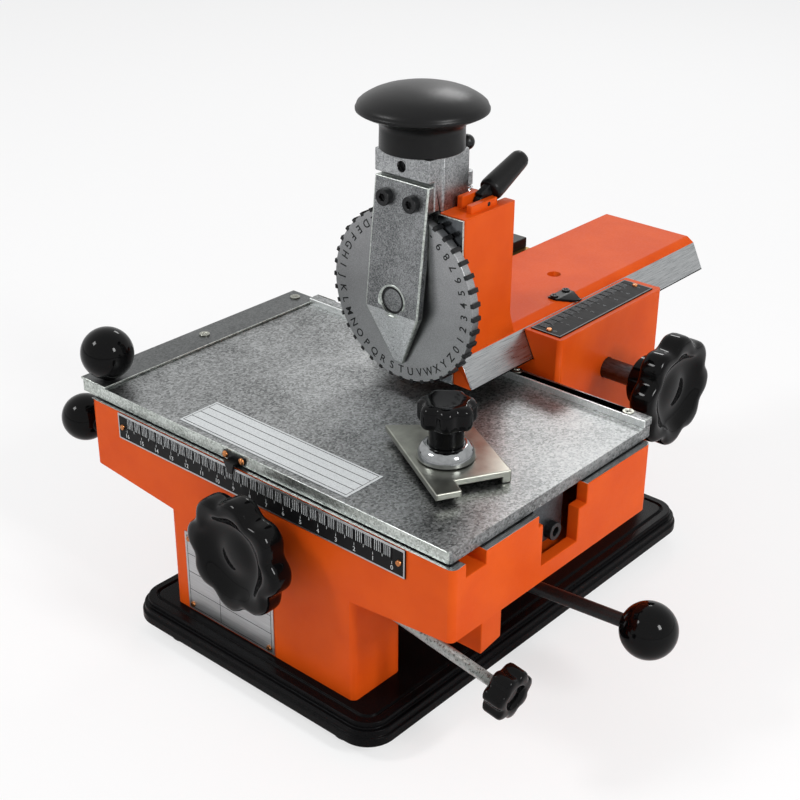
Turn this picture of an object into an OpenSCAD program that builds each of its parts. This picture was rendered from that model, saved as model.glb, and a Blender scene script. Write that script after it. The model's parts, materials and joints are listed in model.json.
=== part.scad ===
// Nameplate marking machine: a hand press with a type disc, a cranked work table and a cranked arm.
// Millimetres, +Z up, the operator stands at -Y. The origin is under the middle of the whole machine.

/* [Base] */
// Width of the base plate
base_w = 153; // [130:1:180]
// Length of the base plate, front to back
base_l = 244; // [232:1:280]
// Thickness of the base plate
base_t = 12; // [9:0.5:18]
// Corner radius of the base plate
base_corner_r = 14; // [8:1:24]
// How far the base plate reaches in front of the bed
base_front = 12; // [8:1:20]
// Height of the rubber feet
foot_h = 6; // [4:0.5:12]
// Radius of the rubber feet
foot_r = 9; // [7:0.5:12]

/* [Bed] */
// Width of the bed
bed_w = 216; // [205:1:230]
// Length of the bed, front to back
bed_l = 136; // [130:1:142]
// Height of the bed's tray at its ends
bed_h = 33.2; // [30:0.5:38]
// Wall of the castings
wall_t = 5.7; // [4.5:0.1:7]
// Height of the space under the ends of the bed
leg_h = 55.2; // [48:1:70]
// Width of the front leg
leg_w = 112.6; // [100:1:124]
// Length of the front leg, front to back
leg_l = 30; // [24:0.5:34]

/* [Column and arm] */
// Width of the column
col_w = 102.6; // [98:1:112]
// Length of the column's top
col_l = 85.1; // [82:1:94]
// Height of the column above the bed
col_h = 28; // [26:0.5:34]
// Length of the arm
arm_l = 195.8; // [185:1:210]
// Width of the arm's foot
arm_w = 72; // [66:0.5:76]
// Height of the arm
arm_h = 16.3; // [15:0.1:19]
// Width of the upright at the arm's front
upright_w = 51; // [48:0.5:55]
// Reach of the upright to the right of the head's middle
upright_right = 30; // [27:0.5:33]
// Height of the upright above the arm
upright_h = 62.5; // [60:0.5:70]
// Travel of the arm to the back
arm_back = 33; // [10:1:34]
// Travel of the arm to the front
arm_front_travel = 39; // [10:1:40]

/* [Press head] */
// Width of the press head
head_w = 30.6; // [27:0.1:32]
// Length of the press head, front to back
head_l = 27; // [25:0.5:29]
// Stroke of the press head
press_stroke = 4; // [3:0.5:4.2]
// Radius of the type disc over its type pieces
disc_r = 41.3; // [36:0.5:41.5]
// Thickness of the type disc
disc_t = 5; // [3.5:0.1:5]
// Number of type pieces
type_count = 40; // [24:1:44]
// Radius of the disc's axle
axle_r = 6; // [4:0.25:7]
// Radius of the press knob's rim
knob_r = 28.9; // [22:0.5:32]
// Height of the press knob above the head
knob_h = 27.2; // [24:0.5:34]

/* [Table] */
// Width of the work table
table_w = 221.5; // [212:1:236]
// Length of the work table
table_l = 138.66; // [134:0.5:139]
// Thickness of the work table
table_t = 5.5; // [4:0.1:7]
// How far the table's middle lies left of the arm's middle at rest
table_shift = 6.15; // [0:0.5:12]
// Width of the side strip
strip_w = 17.4; // [12:0.2:24]
// Radius of the round grips on the left
grip_r = 12.25; // [9:0.25:13]
// Travel of the table to the left
table_left = 70; // [20:1:72]
// Travel of the table to the right
table_right = 90; // [20:1:92]

/* [Wheels and levers] */
// Radius of the handwheels over their lobes
wheel_r = 27.2; // [22:0.2:30]
// Thickness of the handwheels' rims
wheel_t = 12; // [8:0.5:13]
// Number of lobes on a handwheel
wheel_lobes = 8; // [6:1:10]
// Radius of the crank shafts
shaft_r = 5; // [4:0.1:5.5]
// Radius of the feed lever's grip
lever_grip_r = 12.5; // [9:0.5:14]
// Length of the feed lever from its pivot to its grip
lever_l = 66.8; // [58:0.5:76]
// Radius of the spacing knob
space_knob_r = 11.2; // [8:0.2:12]

/* [Work clamp] */
// Radius of the clamp knob
clamp_knob_r = 12.5; // [10:0.25:14]
// Thickness of the clamp plate
clamp_t = 3; // [2:0.1:3.4]

/* [Hidden] */

// Smoothness of round shapes
$fn = 48;
// How far every cut runs past the face that it opens
overrun = 1;
// Gap of faces that slide on each other
slide_gap = 0.1;
// Gap of pieces that pass each other
pass_gap = 0.3;
// Radial gap of a shaft in its bush
run_gap = 0.05;
// Radial gap of a fixed pin in its bore
fit_gap = 0.02;

// Heights of the stack
base_top = foot_h + base_t;
bed_bottom = base_top + leg_h;
bed_top = bed_bottom + bed_h;
table_lift = 0.75;
table_under = bed_top + table_lift;
table_top = table_under + table_t;
col_top = bed_top + col_h;
arm_sole_rise = 14.3;
arm_bottom = bed_top + arm_sole_rise;
arm_top = arm_bottom + arm_h;
upright_top = arm_top + upright_h;

// Base plate
base_edge = 3;
base_step_h = 4.5;
base_groove_in = 7;
base_groove_w = 1.2;
base_groove_d = 0.8;
foot_inset_x = 24;
foot_inset_y = 14;
foot_screw_r = 2;
foot_head_r = 4;
foot_head_h = 2.5;
foot_head_z = 1.5;
foot_screw_l = 12;
foot_taper = 1;

// Bed casting
bed_corner_r = 3;
bed_dip = 4.9;
floor_t = 4.5;
front_wall_t = 8;
groove_l = 12.4;
groove_d = 6.2;
ledge_l = groove_l + 3;
ledge_t = 8;
slot_front = 57.3;
slot_l = 25.2;
slot_d = 25.4;
slot_rear_l = 5.5;
slot_rear_d = 9.4;
slot_ear_l = 3;
slot_ear_d = 5.4;
lug_out = 7;
lug_w = 15;
lug_front = 28;
lug_l = 13;
lug_drop = 23.6;
lug_slant = 2.1;
pad_w = 12;
pad_h = 12;
rib_front = 84;
rib_t = 6;
rib_w = 22;
boss_l = 12;

// Column casting
col_step = 9;
col_front = bed_l + col_step;
col_rear = col_front + col_l;
col_corner_r = 2.5;
col_wall = 7.3;
col_roof_t = 7;
bolt_xs_share = [-0.82, -0.47, 0.47, 0.82];
bolt_r = 2.5;
bolt_head_r = 4.4;
bolt_head_h = 5;
bolt_rise = 7;
bolt_l = 10;

// Arm and dovetail
arm_over_bed = 36.2;
arm_front = bed_l - arm_over_bed;
arm_rear = arm_front + arm_l;
arm_foot_h = 0.8;
arm_band_w = arm_w - 12.5;
arm_top_w = arm_w - 20.6;
arm_flank_h = arm_h - 3.4;
gib_t = 3.4;
upright_l = 34.7;
upright_foot = 3;
channel_gap = 0.4;
channel_floor_t = 3.7;
arm_hole_r = 3.5;
arm_hole_x = 4.7;
arm_hole_y = 103.8;
arm_hole_d = 9;
sheet_t = 1.2;
upright_left = upright_w - upright_right;
arm_cut_l = 17.2;
sheet_w = upright_w - 1;
sheet_left = 0.5 - upright_left;
sheet_foot_w = arm_top_w / 2 - sheet_left;
sheet_foot_h = 12;
sheet_screw_in = 7;
sheet_screw_up = 18;
arm_pointer_y = 76.7;
arm_pointer_l = 13.8;
arm_pointer_tip_y = 12.2;
arm_pointer_t = 1;
arm_pointer_in = 5;
arm_pointer_screw_in = 2.8;
arm_pointer_reach = 2;
arm_pointer_screws = [2.2, 11.6];

// Cranks: module of the teeth, their counts and the pitch radii
tooth_m = 1.25;
table_teeth = 16;
arm_teeth = 18;
pressure_angle = 20;
backlash = 0.15;
tooth_tip = 0.8 * tooth_m;
tooth_root = 1.15 * tooth_m;
table_pitch_r = tooth_m * table_teeth / 2;
arm_pitch_r = tooth_m * arm_teeth / 2;
tooth_pitch = PI * tooth_m;
pinion_l = 16;
rack_body = 6;
bush_t = 2;
bush_in = 2.5;
front_crank_x = 7.5;
front_crank_z = bed_bottom + 6.3;
pinion_front = 60;
table_pitch_z = front_crank_z + table_pitch_r;
side_crank_in = 40;
side_crank_y = col_front + side_crank_in;
arm_pitch_z = arm_bottom - 2.45;
side_crank_z = arm_pitch_z - arm_pitch_r;
rack_slot_w = pinion_l + 1;
rack_spare = 12;
arm_rack_front = side_crank_y - arm_front - arm_back - rack_spare;
arm_rack_l = arm_back + arm_front_travel + 2 * rack_spare;

// Handwheel
wheel_root_share = 0.885;
wheel_lobe_share = 0.31;
wheel_dish_share = 0.69;
wheel_boss_share = 0.5;
wheel_dome_share = 0.75;
wheel_dish_d = 5;
wheel_dish_steps = 10;
wheel_hub_r = 12;
wheel_turn = 5.6;
front_wheel_y = -22.9;
front_hub_l = 7.6;
side_wheel_out = 41.2;
side_hub_l = 10.5;
wheel_sink = 4;

// Press head
head_front = arm_front - 7.1;
head_rear = head_front + head_l;
head_rise = 24.3;
head_top = upright_top + head_rise;
band_h = 10.2;
seat_d = 4;
leg_front_gap = 0.3;
leg_bottom = arm_bottom + channel_floor_t + press_stroke + 0.6;
side_groove_w = 2;
side_groove_d = 0.6;
side_groove_y = 9;
disc_drop = 41.1;
disc_z = upright_top - disc_drop;
head_bottom = disc_z + disc_r + 2 * pass_gap;
disc_front = arm_front - sheet_t - pass_gap - disc_t;
disc_rim_in = 1.4;
disc_hub_r = 9.5;
disc_hub_t = 1.3;
type_w_share = 0.64;
type_l = 6;
type_face_t = 0.5;
type_pitch = 2 * PI * disc_r / type_count;
type_w = type_w_share * type_pitch;
plate_t = 4;
plate_top = head_top - 11.8;
plate_lean = 6.7;
plate_bend_z = disc_z - 5.4;
plate_tip_rise = 9.2;
plate_tip_z = disc_z - disc_r + plate_tip_rise;
plate_tip_w = 5;
plate_tip_t = 1.6;
plate_hole_r = axle_r + 0.5;
plate_chamfer = 1.4;
axle_front = disc_front - 6.1;
axle_l = 31.8;
plate_screw_x = 7.6;
plate_screw_z = plate_top - 8.3;
plate_screw_r = 2;
plate_screw_head_r = 3.8;
plate_screw_head_h = 3.6;
plate_screw_l = 14;
plate_screw_seat = 0.5;
hex_r = 1.9;
hex_d = 2;
set_hole_r = 2.5;
set_hole_z = head_top - 5.5;
set_screw_l = 5;

// Press knob
knob_y = head_front + head_l / 2;
knob_skirt_r = 18.8;
knob_rim_drop = 5;
knob_rim_t = 5;
knob_neck_r = 4;
knob_rim_share = 0.965;
knob_stem_r = 6;
knob_stem_l = 18;

// Spring rod behind the head: its spring stands in a pocket of the upright
rod_x = 7.5;
rod_back = 21.3;
rod_y = knob_y + rod_back;
rod_r = 1.2;
rod_ball_r = 3.5;
rod_h = 23.3;
rod_sink = 6;
bracket_r = 3;
bracket_t = 6;
bracket_rise = 4.5;
bracket_z = upright_top + bracket_rise;
spring_r = 2.8;
spring_wire_r = 0.5;
spring_turns = 5;
spring_sides = 6;
spring_steps = 8;
spring_pocket_d = 10;
spring_end_gap = 0.15;
spring_low = upright_top - spring_pocket_d + spring_end_gap;
spring_high = bracket_z - spring_end_gap;

// Clamp lever between its two ears
ear_t = 3.2;
ear_in_x = 16.8;
ear_in_h = 5.5;
ear_in_rear = 22.7;
ear_in_l = 12.5;
ear_out_x = 24.2;
ear_out_h = 3.5;
ear_out_rear = 25.2;
ear_out_l = 18;
lever_pin_y = 19.2;
lever_pin_z = 1.7;
lever_pin_r = 1;
lever_hub_r = 2.4;
lever_angle = 24;
lever_hub_gap = 0.2;
lever_root = 9.5;
lever_handle_l = 23.5;
lever_root_r = 5.4;
lever_end_r = 4.4;
lever_slot_d = 3;

// Plates, scales and rivets
scale_w = 172.6;
scale_h = 12.7;
scale_t = 0.8;
scale_mid_x = -1.6;
scale_drop = 0.4;
data_w = 56;
data_h = 41.5;
data_x = -19;
data_t = 0.6;
col_scale_w = 16.6;
col_scale_l = 77.7;
col_scale_x = 40.6;
col_scale_front = 2.5;
col_scale_y = col_front + col_scale_front + col_scale_l / 2;
col_scale_t = 0.6;
rivet_r = 1.4;
rivet_h = 0.8;
rivet_sink = 3;
rivet_in = 3;

// Gib
gib_cover_w = 16;
gib_cover_l = 80.5;
gib_cover_h = 5.6;
gib_cover_x = -40;
gib_cover_front = 4.4;
gib_screw_r = 2.5;
gib_screw_z = 9.1;
gib_screw_shares = [0.2, 0.5, 0.8];
gib_nut_r = 4.6;
gib_nut_t = 3.5;
gib_screw_out = 6;

// Table and what hangs under it
table_front = 2.04;
table_x = -table_shift;
table_corner_r = 2;
strip_t = 1.2;
fence_l = 5.9;
fence_h = 3.5;
bar_l = 200;
guide_y = 113;
guide_z = bed_top - 11;
guide_r = 6;
guide_seat = 4.2;
block_from = -20;
block_to = 14;
block_l = 20;
block_drop = 19;
carrier_l = 21;
carrier_front = 59.5;
carrier_spare = 23.5;
carrier_to = front_crank_x - table_x + table_left + carrier_spare;
carrier_from = front_crank_x - table_x - table_right - carrier_spare;
carrier_lug_t = 5;
carrier_lug_drop = 22.6;
end_screw_r = 4;
end_screw_out = 3.2;
end_screw_bore_r = 2;
end_screw_y = 12.5;
end_screw_drop = 18;
print_w = 100;
print_l = 22;
print_x = -2;
print_y = 16.5;
print_t = 0.4;
screw_head_r = 2.6;
screw_head_h = 0.8;
screw_r = 1.4;
strip_screw_x = 7.8;
strip_screw_ys = [0.5, 0.953];
fence_screw_ins = [10.55, 71.75];
fence_screw_sink = 0.4;
pointer_w = 10.6;
pointer_x = -11.6;
pointer_t = 1.1;
pointer_tip_x = -13;
pointer_tip_drop = 4;
pointer_head_h = 3.4;
pointer_screw_r = 1.5;
pointer_screw_x = 3.2;
pointer_screw_out = 0.7;
clip_in = 3.5;
clip_w = 13;
clip_l = 3.8;
clip_t = 3;
clip_drop = 1.2;
ball_in_x = 10.9;
ball_in_y = 7.96;
ball_rise = 13.74;
ball_stud_r = 3;
ball_flat = 0.4;

// Work clamp: its place on the table, seen from the table's right front corner, and its turn
clamp_in_x = 42.2;
clamp_in_y = 48.26;
clamp_turn = -29;
clamp_lift = 2.7;
clamp_stud_r = 3;
clamp_stud_h = 26;
clamp_outline = [
    [-34.6, -14.6], [-22.8, 20.9], [19.5, 21.1], [19.5, -3.8], [28, -4], [28.1, -15.1]
];
clamp_foot_w = 8;
dome_r = 12.2;
dome_h = 6.5;
dome_crown_r = 8;
clamp_shank_r = 7.4;
clamp_shank_h = 9;
clamp_head_h = 10.5;
clamp_lobes = 7;
knob_root_share = 0.84;
knob_lobe_share = 0.34;

// Spacing screw
space_y = 18;
space_rise = 30.47;
space_z = base_top + space_rise;
space_r = 2.5;
space_out = 60.94;
space_tilt = 8.6;
space_in = 12;
space_knob_t = 10;
space_leg_z = space_z + space_out * tan(space_tilt);
space_lobes = 7;
space_dish_d = 2;

// Feed lever
lever_x = 77;
lever_y = 80;
lever_rise = 32;
lever_z = base_top + lever_rise;
lever_rest = 6.2;
lever_rod_r = 3.1;
lever_boss_r = 6;
lever_boss_h = 8;
lever_post_w = 14;
pivot_r = 3;
pivot_head_r = 5;
pivot_head_h = 3;

// Release rod at the left
push_y = 13.1;
push_z = bed_bottom + 10;
push_r = 3.5;
push_grip_r = 11.5;
push_out = 24;
push_in = 22;
push_boss_r = 6.5;

// Extents of the whole machine, which put its origin under its middle
left_end = -(bed_w / 2 + push_out + push_grip_r);
right_end = lever_x + lever_l * cos(lever_rest) + lever_grip_r;
mid_x = (left_end + right_end) / 2;
mid_y = (front_wheel_y + arm_rear) / 2;

// Colours
orange = "#e85f26";
black_gloss = "#141414";
black_matt = "#242424";
steel = "#b9bcc0";
bright = "#d8dadc";
zinc = "#a7abad";
copper = "#b5713f";
dark_grey = "#4b4f52";
rubber = "#1c1c1c";

// Moves a piece from the machine's own axes to the part's frame
module framed() {
    translate([-mid_x, -mid_y, 0]) children();
}

// Flat outline of a plate with round corners, centred
module round_rect(w, l, r) {
    square([w - 2 * r, l], center = true);
    square([w, l - 2 * r], center = true);
    for (sx = [-1, 1], sy = [-1, 1]) {
        translate([sx * (w / 2 - r), sy * (l / 2 - r)]) circle(r = r);
    }
}

// Box from one corner to the opposite corner
module box(low, high) {
    translate(low) cube(high - low);
}

// Cylinder along X, Y or Z from a point
module rod_x_axis(p, r, l) {
    translate(p) rotate([0, 90, 0]) cylinder(r = r, h = l);
}
module rod_y_axis(p, r, l) {
    translate(p) rotate([-90, 0, 0]) cylinder(r = r, h = l);
}
module rod_z_axis(p, r, l) {
    translate(p) cylinder(r = r, h = l);
}

// Profile in X and Z, run along Y from a start
module run_y(from, l) {
    translate([0, from + l, 0]) rotate([90, 0, 0]) linear_extrude(height = l) children();
}

// Profile in Y and Z, centred over X
module run_x(w, mid = 0) {
    translate([mid - w / 2, 0, 0]) rotate([90, 0, 90]) linear_extrude(height = w) children();
}

// Round outline with lobes
module lobed(r, count, root_share, lobe_share) {
    circle(r = r * root_share);
    for (i = [0:count - 1]) {
        rotate(i * 360 / count) translate([r * (1 - lobe_share), 0]) circle(r = r * lobe_share);
    }
}

// Gear teeth, as involutes of a circle
function involute(a) = tan(a) * 180 / PI - a;
function flank_angle(r, pitch_r, teeth) =
    let (base_r = pitch_r * cos(pressure_angle), at = max(r, base_r))
    90 / teeth - backlash / pitch_r * 180 / PI + involute(pressure_angle)
        - involute(acos(min(1, base_r / at)));
function tooth_radii(pitch_r) =
    let (low = pitch_r - tooth_root, high = pitch_r + tooth_tip, steps = 5)
    [for (i = [0:steps]) low + (high - low) * i / steps];
function tooth_points(pitch_r, teeth, mid_angle) =
    let (radii = tooth_radii(pitch_r), n = len(radii))
    concat(
        [for (i = [0:n - 1])
            let (r = radii[i], a = mid_angle - flank_angle(r, pitch_r, teeth))
            [r * cos(a), r * sin(a)]],
        [for (i = [0:n - 1])
            let (r = radii[n - 1 - i], a = mid_angle + flank_angle(r, pitch_r, teeth))
            [r * cos(a), r * sin(a)]]
    );

// Pinion, centred on its axis along Z; a tooth gap points to the gap angle
module pinion(pitch_r, teeth, gap_angle) {
    points = [for (i = [0:teeth - 1])
        each tooth_points(pitch_r, teeth, gap_angle + (i + 0.5) * 360 / teeth)];
    difference() {
        translate([0, 0, -pinion_l / 2]) linear_extrude(height = pinion_l) polygon(points);
        cylinder(r = shaft_r + fit_gap, h = pinion_l + 2 * overrun, center = true);
    }
}

// Outline of a rack: teeth point down, the pitch line is at 0 and a tooth stands at 0
module rack_outline(from, to) {
    half = tooth_pitch / 4 - backlash;
    slope = tan(pressure_angle);
    first = ceil((from + tooth_pitch / 2) / tooth_pitch);
    last = floor((to - tooth_pitch / 2) / tooth_pitch);
    teeth = [for (i = [first:last]) each [
        [i * tooth_pitch - half - tooth_root * slope, tooth_root],
        [i * tooth_pitch - half + tooth_tip * slope, -tooth_tip],
        [i * tooth_pitch + half - tooth_tip * slope, -tooth_tip],
        [i * tooth_pitch + half + tooth_root * slope, tooth_root]
    ]];
    polygon(concat(
        [[from, tooth_root + rack_body], [from, tooth_root]], teeth,
        [[to, tooth_root], [to, tooth_root + rack_body]]
    ));
}

// Depth of the handwheel's dish over its radius, as shares: a dome in the middle of a round groove
function wheel_dish_shape(share) =
    share < wheel_boss_share
        ? 1 - wheel_dome_share * (1 + cos(180 * share / wheel_boss_share)) / 2
        : (1 + cos(180 * (share - wheel_boss_share) / (1 - wheel_boss_share))) / 2;

// Handwheel along Z: its front face is at 0 and its hub points down
module handwheel(hub_l) {
    dish_r = wheel_r * wheel_dish_share;
    difference() {
        union() {
            translate([0, 0, -wheel_t]) linear_extrude(height = wheel_t)
                lobed(wheel_r, wheel_lobes, wheel_root_share, wheel_lobe_share);
            translate([0, 0, -wheel_t - hub_l]) cylinder(r = wheel_hub_r, h = hub_l + overrun);
        }
        rotate_extrude() polygon([
            for (i = [0:wheel_dish_steps]) let (share = i / wheel_dish_steps)
                [dish_r * share, -wheel_dish_d * wheel_dish_shape(share)],
            [dish_r, overrun / 2], [0, overrun / 2]
        ]);
        translate([0, 0, -wheel_t - hub_l - overrun])
            cylinder(r = shaft_r + fit_gap, h = hub_l + wheel_t - wheel_sink + overrun);
    }
}

// Screw along Z: its head's seat is at 0 and its shank points down
module machine_screw(head_r, head_h, r, l) {
    difference() {
        union() {
            cylinder(r = head_r, h = head_h);
            translate([0, 0, -l]) cylinder(r = r, h = l + head_h / 2);
        }
        for (a = [0, 90]) {
            rotate(a) translate([0, 0, head_h])
                cube([head_r * 1.3, head_r * 0.28, head_h], center = true);
        }
    }
}

// Round grip with a flat where its stud enters, along Z
module ball_grip(r, stud_r, depth) {
    difference() {
        sphere(r = r);
        translate([0, 0, -r - overrun]) cylinder(r = stud_r + fit_gap, h = depth + overrun);
    }
}

module base_outline(inset) {
    translate([0, base_l / 2 - base_front])
        round_rect(base_w - 2 * inset, base_l - 2 * inset, base_corner_r - inset);
}

// Places of the four feet
module at_feet() {
    for (sx = [-1, 1], sy = [-1, 1]) {
        translate([
            sx * (base_w / 2 - foot_inset_x),
            base_l / 2 - base_front + sy * (base_l / 2 - foot_inset_y), 0
        ]) children();
    }
}

module bolt_recess() {
    rod_z_axis([0, 0, foot_h - overrun], bolt_head_r + run_gap, bolt_head_h + overrun);
    rod_z_axis([0, 0, foot_h], bolt_r + run_gap, base_t + overrun);
}

module base_plate() {
    color(black_gloss) framed() difference() {
        union() {
            translate([0, 0, foot_h + base_edge / 2])
                linear_extrude(height = base_step_h) base_outline(0);
            translate([0, 0, foot_h]) linear_extrude(height = base_t) base_outline(base_edge);
            translate([0, 0, foot_h + base_edge / 2])
                linear_extrude(height = base_step_h + base_edge) base_outline(base_edge / 3);
        }
        translate([0, 0, base_top - base_groove_d]) linear_extrude(height = base_groove_d + overrun)
            difference() {
                base_outline(base_groove_in);
                base_outline(base_groove_in + base_groove_w);
            }
        at_feet() rod_z_axis([0, 0, foot_h - overrun], foot_screw_r + fit_gap,
            foot_screw_l - foot_h + foot_head_z + foot_head_h + overrun);
        at_leg_pads() bolt_recess();
        at_column_pads() bolt_recess();
    }
}

module rubber_feet() {
    color(rubber) framed() at_feet() difference() {
        cylinder(r1 = foot_r - foot_taper, r2 = foot_r, h = foot_h);
        rod_z_axis([0, 0, -overrun], foot_head_r + run_gap, foot_head_z + foot_head_h + overrun);
        rod_z_axis([0, 0, 0], foot_screw_r + run_gap, foot_h + overrun);
    }
}

module foot_screws() {
    color(steel) framed() at_feet() translate([0, 0, foot_head_z + foot_head_h]) mirror([0, 0, 1])
        machine_screw(foot_head_r, foot_head_h, foot_screw_r, foot_screw_l - 0.5 * foot_head_h);
}

// Outline of the tray's outside or inside in X and Z, with the shallow V of its floor
module tray_profile(half_w, lift, top) {
    polygon([
        [-half_w, bed_bottom + lift], [-leg_w / 2, bed_bottom - bed_dip + lift],
        [leg_w / 2, bed_bottom - bed_dip + lift], [half_w, bed_bottom + lift],
        [half_w, top], [-half_w, top]
    ]);
}

// Profile of the cuts in the tray's end walls, in Y and Z
module end_wall_cuts() {
    translate([front_wall_t, bed_top - groove_d]) square([groove_l, groove_d + overrun]);
    translate([slot_front, bed_top - slot_d]) square([slot_l, slot_d + overrun]);
    translate([slot_front + slot_l - overrun, bed_top - slot_rear_d])
        square([slot_rear_l + overrun, slot_rear_d + overrun]);
    translate([slot_front - slot_ear_l, bed_top - slot_ear_d])
        square([slot_ear_l + overrun, slot_ear_d + overrun]);
}

module bed_shell() {
    intersection() {
        run_y(0, bed_l) tray_profile(bed_w / 2, 0, bed_top);
        translate([0, bed_l / 2, base_top]) linear_extrude(height = bed_top)
            round_rect(bed_w, bed_l, bed_corner_r);
    }
    translate([0, leg_l / 2, base_top]) linear_extrude(height = leg_h)
        round_rect(leg_w, leg_l, bed_corner_r);
}

module bed_lug() {
    right = bed_w / 2 - lug_out;
    run_x(lug_w, right - lug_w / 2) polygon([
        [lug_front, bed_bottom - lug_drop], [lug_front + lug_l, bed_bottom - lug_drop + lug_slant],
        [lug_front + lug_l, bed_bottom + floor_t / 2], [lug_front, bed_bottom + floor_t / 2]
    ]);
}

module bed_casting() {
    inner_w = bed_w / 2 - wall_t;
    color(orange) framed() difference() {
        union() {
            difference() {
                bed_shell();
                run_y(front_wall_t, bed_l - front_wall_t - wall_t)
                    tray_profile(inner_w, floor_t, bed_top + overrun);
                box([-leg_w / 2 + wall_t, wall_t, base_top - overrun],
                    [leg_w / 2 - wall_t, leg_l + overrun, bed_bottom - bed_dip - wall_t]);
            }
            box([-inner_w, front_wall_t, bed_top - groove_d - ledge_t],
                [inner_w, front_wall_t + ledge_l, bed_top - groove_d]);
            box([-inner_w, front_wall_t + groove_l, bed_top - groove_d - ledge_t],
                [inner_w, front_wall_t + ledge_l, bed_top]);
            box([front_crank_x - rib_w / 2, 0, bed_bottom - bed_dip],
                [front_crank_x + rib_w / 2, boss_l, bed_top - groove_d]);
            box([front_crank_x - rib_w / 2, rib_front, bed_bottom - bed_dip],
                [front_crank_x + rib_w / 2, rib_front + rib_t, front_crank_z + rib_w / 2]);
            bed_lug();
            box([lever_x - lever_post_w / 2, lever_y - lever_post_w / 2, lever_z + lever_boss_h / 2],
                [lever_x + lever_post_w / 2, lever_y + lever_post_w / 2, bed_bottom + floor_t / 2]);
            rod_x_axis([-inner_w - wall_t / 2, push_y, push_z], push_boss_r, wall_t + boss_l);
            rod_x_axis([leg_w / 2 - wall_t - boss_l / 2, space_y, space_leg_z], push_boss_r,
                boss_l / 2 + wall_t);
            at_leg_pads() bolt_pad();
        }
        for (sx = [-1, 1]) {
            run_x(wall_t + 2 * overrun, sx * (bed_w / 2 - wall_t / 2)) end_wall_cuts();
        }
        at_leg_pads() rod_z_axis([0, 0, base_top - overrun], bolt_r + fit_gap, pad_h);
        run_y(-overrun, boss_l + 2 * overrun) crank_bore();
        run_y(rib_front - overrun, rib_t + 2 * overrun) crank_bore();
        box([front_crank_x - table_pitch_r - 3 * tooth_m, pinion_front - tooth_m, base_top + pad_h],
            [front_crank_x + table_pitch_r + 3 * tooth_m, pinion_front + pinion_l + tooth_m,
                front_crank_z]);
        rod_x_axis([-inner_w - guide_seat, guide_y, guide_z], guide_r + fit_gap,
            bed_w - 2 * wall_t + 2 * guide_seat);
        rod_x_axis([-bed_w / 2 - overrun, push_y, push_z], push_r + run_gap,
            wall_t * 2 + boss_l + overrun);
        at_spacing() rod_z_axis([0, 0, -space_out - wall_t - boss_l], space_r + run_gap,
            wall_t + boss_l + 3 * overrun);
        rod_z_axis([lever_x, lever_y, lever_z], pivot_r + fit_gap, bed_bottom - lever_z);
        at_column_bolts() rod_y_axis([0, bed_l - wall_t - overrun, 0], bolt_r + fit_gap,
            wall_t + 2 * overrun);
        at_front_rivets() rod_y_axis([0, -overrun, 0], rivet_r / 2 + fit_gap, rivet_sink + overrun);
        at_data_rivets() rod_y_axis([0, -overrun, 0], rivet_r / 2 + fit_gap, rivet_sink + overrun);
    }
}

// Moves a piece onto the spacing screw's axis, which slopes down to its knob
module at_spacing() {
    translate([leg_w / 2 + space_out, space_y, space_z]) rotate([0, 90 + space_tilt, 0]) children();
}

// Places of the pads that the bolts of the base plate screw into
module at_leg_pads() {
    for (sx = [-1, 1]) {
        translate([sx * (leg_w / 2 - wall_t - pad_w / 2), wall_t + pad_w / 2, 0]) children();
    }
}
module at_column_pads() {
    for (sx = [-1, 1]) {
        translate([sx * (col_w / 2 - col_wall - pad_w / 2), (bed_l + col_wall + col_rear) / 2, 0])
            children();
    }
}
module bolt_pad() {
    translate([0, 0, base_top + pad_h / 2])
        cube([pad_w + overrun, pad_w + overrun, pad_h], center = true);
}

// Bore for a bush of the front crank, in X and Z
module crank_bore() {
    translate([front_crank_x, front_crank_z]) circle(r = shaft_r + bush_t + fit_gap);
}

module at_column_bolts() {
    for (share = bolt_xs_share) {
        translate([share * col_w / 2, 0, bed_bottom + bolt_rise]) children();
    }
}

module at_front_rivets() {
    for (sx = [-1, 1]) {
        translate([scale_mid_x + sx * (scale_w / 2 - rivet_in), 0, bed_top - scale_drop - scale_h / 2])
            children();
    }
}

module at_data_rivets() {
    for (sx = [-1, 1], sz = [-1, 1]) {
        translate([data_x + sx * (data_w / 2 - rivet_in), 0,
            base_top + scale_t + data_h / 2 + sz * (data_h / 2 - rivet_in)]) children();
    }
}

module at_column_rivets() {
    for (sy = [-1, 1]) {
        translate([col_scale_x, col_scale_y + sy * (col_scale_l / 2 - rivet_in), 0]) children();
    }
}

// Half width of the arm's flank at a height above its sole
function flank_x(rise) =
    arm_w / 2 - (rise - arm_foot_h) * (arm_w - arm_band_w) / 2 / arm_flank_h;

// Section of the arm, widened by a gap for the groove that it runs in
module arm_section(gap, left_gap, sole_gap, top) {
    low = flank_x(-sole_gap);
    high = flank_x(top);
    polygon([
        [-low - gap - left_gap, arm_bottom - sole_gap], [low + gap, arm_bottom - sole_gap],
        [high + gap, arm_bottom + top], [-high - gap - left_gap, arm_bottom + top]
    ]);
}

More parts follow.
